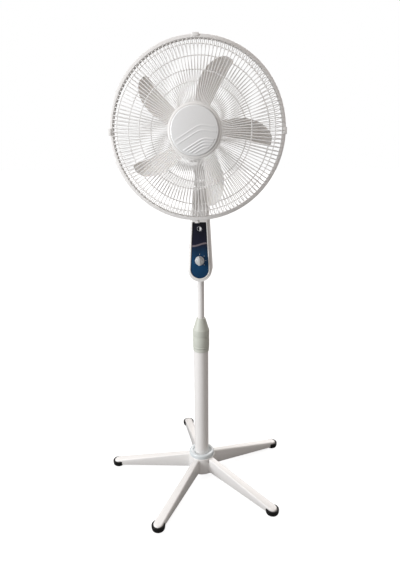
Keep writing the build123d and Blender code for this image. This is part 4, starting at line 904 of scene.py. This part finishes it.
# %% Label print
label_low, label_high = span("control_label", 2)
label_print = bpy.data.materials.new("label_print")
label_print.use_nodes = True
label_tree = label_print.node_tree
label_shader = label_tree.nodes["Principled BSDF"]
label_shader.inputs["Roughness"].default_value = 0.3
label_shader.inputs["Specular IOR Level"].default_value = 0.16
split = label_tree.nodes.new("ShaderNodeSeparateXYZ")
label_tree.links.new(object_coordinates(label_tree), split.inputs["Vector"])
up = math_node(label_tree, "DIVIDE", math_node(label_tree, "SUBTRACT", split.outputs["Z"], label_low),
               label_high - label_low, clamp=True)
ramp = label_tree.nodes.new("ShaderNodeValToRGB")
LABEL_INKS = ((0.0, (0.002, 0.040, 0.110)), (0.30, (0.003, 0.050, 0.135)), (0.50, (0.005, 0.030, 0.075)),
              (0.62, (0.010, 0.012, 0.030)), (1.0, (0.004, 0.004, 0.007)))
for number, (place_up, ink) in enumerate(LABEL_INKS):
    stops = ramp.color_ramp.elements
    stop = stops[number] if number < 2 else stops.new(place_up)
    stop.position = place_up
    stop.color = (*ink, 1)
label_tree.links.new(up, ramp.inputs["Fac"])

# %% The curved band on the label
BAND_Z = 0.786
across = math_node(label_tree, "DIVIDE", split.outputs["X"], 0.022)
wave = math_node(label_tree, "SINE", math_node(label_tree, "MULTIPLY", across, 1.7))
lift = math_node(label_tree, "MULTIPLY", wave, 0.0045)
above = math_node(label_tree, "SUBTRACT", split.outputs["Z"], BAND_Z)
away = math_node(label_tree, "ABSOLUTE", math_node(label_tree, "SUBTRACT", above, lift))
band = label_tree.nodes.new("ShaderNodeMapRange")
band.inputs["From Min"].default_value = 0.0034
band.inputs["From Max"].default_value = 0.0014
label_tree.links.new(away, band.inputs["Value"])
with_band = label_tree.nodes.new("ShaderNodeMixRGB")
with_band.inputs["Color2"].default_value = (0.26, 0.22, 0.24, 1)
label_tree.links.new(math_node(label_tree, "MULTIPLY", band.outputs["Result"], 0.75), with_band.inputs["Fac"])
label_tree.links.new(ramp.outputs["Color"], with_band.inputs["Color1"])
label_specks = label_tree.nodes.new("ShaderNodeMixRGB")
label_specks.inputs["Color2"].default_value = (0.12, 0.12, 0.125, 1)
speck_mask = math_node(label_tree, "MULTIPLY", noise(label_tree, 220.0, 4.0), 0.06)
label_tree.links.new(speck_mask, label_specks.inputs["Fac"])
label_tree.links.new(with_band.outputs["Color"], label_specks.inputs["Color1"])
label_tree.links.new(label_specks.outputs["Color"], label_shader.inputs["Base Color"])

# %% Shells, label and its rim
softened("control_front_shell", "mast", shell_plastic, 0.8)
softened("control_rear_shell", "mast", shell_plastic, 0.8)
softened("control_label", "mast", label_print, 0.3)
LABEL_FACE = span("control_label", 1)[0]
LABEL_BOTTOM = label_low / MM
LABEL_TOP = label_high / MM
LABEL_ROUND_R = 26.5
LABEL_TOP_HALF = 19.5
RIM_OUT = 1.9


def label_edge(outward):
    """The label's outline as points in millimetres, moved outwards."""
    middle = LABEL_BOTTOM + LABEL_ROUND_R
    radius, half, top = LABEL_ROUND_R + outward, LABEL_TOP_HALF + outward, LABEL_TOP + outward
    corner = 3.0
    spots = arc_points(0.0, middle, radius, 180, 361, 6)
    spots += arc_points(half - corner, top - corner, corner, 0, 91, 30)
    spots += arc_points(corner - half, top - corner, corner, 90, 181, 30)
    return spots + spots[:1]


# A thin dark line lies on the label's edge, and the frame lies just outside it.
dark_line_points = [Vector((x * MM, LABEL_FACE + 0.0001, z * MM)) for x, z in label_edge(0.0)]
label_seam = through(wire_tree, line_mesh(dark_line_points), wire_radius=0.0006, sides=8, material=dark_plastic)
dark_line_piece = add_piece("label_seam", label_seam, "mast", dark_plastic, smooth=70)
rim_line = [Vector((x * MM, LABEL_FACE - 0.0002, z * MM)) for x, z in label_edge(RIM_OUT)]
label_rim = through(wire_tree, line_mesh(rim_line), wire_radius=0.0016, sides=10, material=shell_plastic)
rim_piece = add_piece("label_frame", label_rim, "mast", shell_plastic, smooth=70)

# %% [markdown]
# ## Small print in relief
# A lamp mark near the label's top and the stops of the dial are thin raised pieces, generic marks that
# say no name. The ticks are one small shape made at four angles round the knob, and the lamp mark is a
# half disc in a ring.

# %% Dial marks
white_ink = finish("white_ink", (0.80, 0.81, 0.82), (0.7, 0.7, 0.7), 0.4, 1500.0, 0.05, sheen_and_wear_amount=0.1)
KNOB_Z = sum(span("speed_knob", 2)) / 2 / MM


def flat_mark(outline, thickness=0.25):
    """A thin raised mark on the label from an outline in millimetres (x, z)."""
    work = bmesh.new()
    back = [work.verts.new((x * MM, LABEL_FACE + 0.0001, z * MM)) for x, z in outline]
    front = [work.verts.new((x * MM, LABEL_FACE - thickness * MM, z * MM)) for x, z in outline]
    work.faces.new(back)
    work.faces.new(front)
    skin(work, back, front)
    return finished(work, "mark")


def tick(angle_deg, inner=17.0, outer=19.4, half=0.5):
    """A short line that points at the knob's centre."""
    a = math.radians(angle_deg)
    c, s = math.cos(a), math.sin(a)
    corners = [(inner, -half), (outer, -half), (outer, half), (inner, half)]
    return flat_mark([(r * c - t * s, KNOB_Z + r * s + t * c) for r, t in corners])


ICON_Z = 832.0
half_moon = flat_mark(arc_points(0.0, ICON_Z, 5.6, -90, 91, 12))
icon_ring = arc_points(0.0, ICON_Z, 6.6, 0, 361, 12)
ring_line = [Vector((x * MM, LABEL_FACE - 0.00005, z * MM)) for x, z in icon_ring]
icon_wire = through(wire_tree, line_mesh(ring_line), wire_radius=0.0003, sides=6, material=white_ink)
marks = joined(*[tick(a) for a in (90, 45, 0, -45)], half_moon, icon_wire)
mark_piece = add_piece("dial_marks", marks, "mast", white_ink)

# %% Speed knob
knob_finish = finish("knob_finish", (0.66, 0.68, 0.69), (0.56, 0.58, 0.60), 0.3, 1800.0, 0.08,
                     metallic=0.25, coat=0.2)
softened("speed_knob", "knob", knob_finish, 0.5)

# %% [markdown]
# ## The neck and the parts that swing
# The fork, the neck and the head bracket are moulded or cast, so their edges are soft. The link and the
# crank are plain pressed steel with only a broken edge.

# %% Neck and linkage
softened("tilt_fork", "mast", shell_plastic, 0.5)
softened("neck_support", "neck", shell_plastic, 0.6)
softened("head_bracket", "head", shell_plastic, 0.7)
softened("drive_link", "link", zinc_steel, 0.25)
softened("crank", "crank", zinc_steel, 0.2)
softened("grille_nut", "head", shell_plastic, 0.5)

# %% [markdown]
# ## Finishes on the rest of the frame
# The nodes that keep their own mesh get a finish by their slots. Most of them are inside the motor and
# are only seen through the vents or when the fan is taken apart, but each has the surface of its own
# stuff.

# %% Finish by node
FINISHES = {
    white_enamel: ("rim_screw",),
    collar_plastic: ("column_sleeve",),
    zinc_steel: ("leg_screws", "base_bolt", "shell_screws", "tilt_bolt", "pivot_spindle", "bearings",
                 "motor_bolts", "rotor_shaft", "pole_foot"),
    shell_plastic: ("motor_cover", "motor_front_cover", "rear_grille_plate", "clutch_knob"),
    cast_aluminium: ("motor_front_bell", "motor_rear_bell"),
    lamination_steel: ("stator", "rotor_core"),
    copper_wire: ("windings",),
    dark_plastic: ("speed_switch", "cord_gland", "gear_case", "worm_wheel", "pole_socket"),
}
for material, names in FINISHES.items():
    for name in names:
        slots = nodes[name].data.materials
        slots.clear()
        slots.append(material)
print("finished nodes", sum(len(v) for v in FINISHES.values()))

# %% [markdown]
# ## Floor and light
# The floor and the air round the fan are plain white. One large soft light stands on the left and makes
# the right sides fall into a warm shade, which is what shows the roundness of the tubes. The air itself
# glows a little warm, which keeps that shade from going grey, and two weak wide lights reach the top
# and the back.

# %% Floor
FLOOR_SIZE = 30.0
floor_mesh = bpy.data.meshes.new("floor")
corners = [(x * FLOOR_SIZE, y * FLOOR_SIZE, 0) for x, y in ((-1, -1), (1, -1), (1, 1), (-1, 1))]
floor_mesh.from_pydata(corners, [], [(0, 1, 2, 3)])
floor_paint = bpy.data.materials.new("floor_paint")
floor_paint.use_nodes = True
floor_shader = floor_paint.node_tree.nodes["Principled BSDF"]
floor_shader.inputs["Base Color"].default_value = (0.30, 0.30, 0.30, 1)
floor_shader.inputs["Roughness"].default_value = 0.9
floor_shader.inputs["Specular IOR Level"].default_value = 0.1
floor_shader.inputs["Emission Color"].default_value = (1.0, 1.0, 1.0, 1)
floor_rays = floor_paint.node_tree.nodes.new("ShaderNodeLightPath")
floor_glow = math_node(floor_paint.node_tree, "MULTIPLY", floor_rays.outputs["Is Camera Ray"], 0.88)
floor_paint.node_tree.links.new(floor_glow, floor_shader.inputs["Emission Strength"])
floor_mesh.materials.append(floor_paint)
floor = bpy.data.objects.new("floor", floor_mesh)
bpy.context.scene.collection.objects.link(floor)

# %% Lights
world = bpy.data.worlds.new("studio")
bpy.context.scene.world = world
world.use_nodes = True
air = world.node_tree
seen = air.nodes["Background"]
seen.inputs["Color"].default_value = (1.0, 1.0, 1.0, 1)
seen.inputs["Strength"].default_value = 1.0
glow = air.nodes.new("ShaderNodeBackground")
glow.inputs["Color"].default_value = (1.0, 0.90, 0.83, 1)
glow.inputs["Strength"].default_value = 0.36
which = air.nodes.new("ShaderNodeLightPath")
either = air.nodes.new("ShaderNodeMixShader")
air.links.new(which.outputs["Is Camera Ray"], either.inputs["Fac"])
air.links.new(glow.outputs["Background"], either.inputs[1])
air.links.new(seen.outputs["Background"], either.inputs[2])
air.links.new(either.outputs["Shader"], air.nodes["World Output"].inputs["Surface"])


def aimed_light(name, kind, where, target, power, colour):
    """A light set at a place and turned towards another."""
    data = bpy.data.lights.new(name, kind)
    data.energy = power
    data.color = colour
    light = bpy.data.objects.new(name, data)
    light.location = where
    light.rotation_euler = (Vector(where) - Vector(target)).to_track_quat("Z", "Y").to_euler()
    bpy.context.scene.collection.objects.link(light)
    return light


key = aimed_light("key_left", "AREA", (-1.9, -1.15, 1.15), (0, 0, 0.75), 39.0, (0.96, 0.98, 1.0))
key.data.shape = "RECTANGLE"
key.data.size = 0.7
key.data.size_y = 1.1
top = aimed_light("top_fill", "SUN", (-0.5, -0.4, 1.0), (0, 0, 0), 1.0, (0.99, 0.99, 1.0))
top.data.angle = math.radians(60.0)
back = aimed_light("back_fill", "SUN", (0.3, 1.0, 0.6), (0, 0, 0), 1.5, (1.0, 0.99, 0.98))
back.data.angle = math.radians(50.0)
bpy.context.scene.view_settings.view_transform = "Standard"
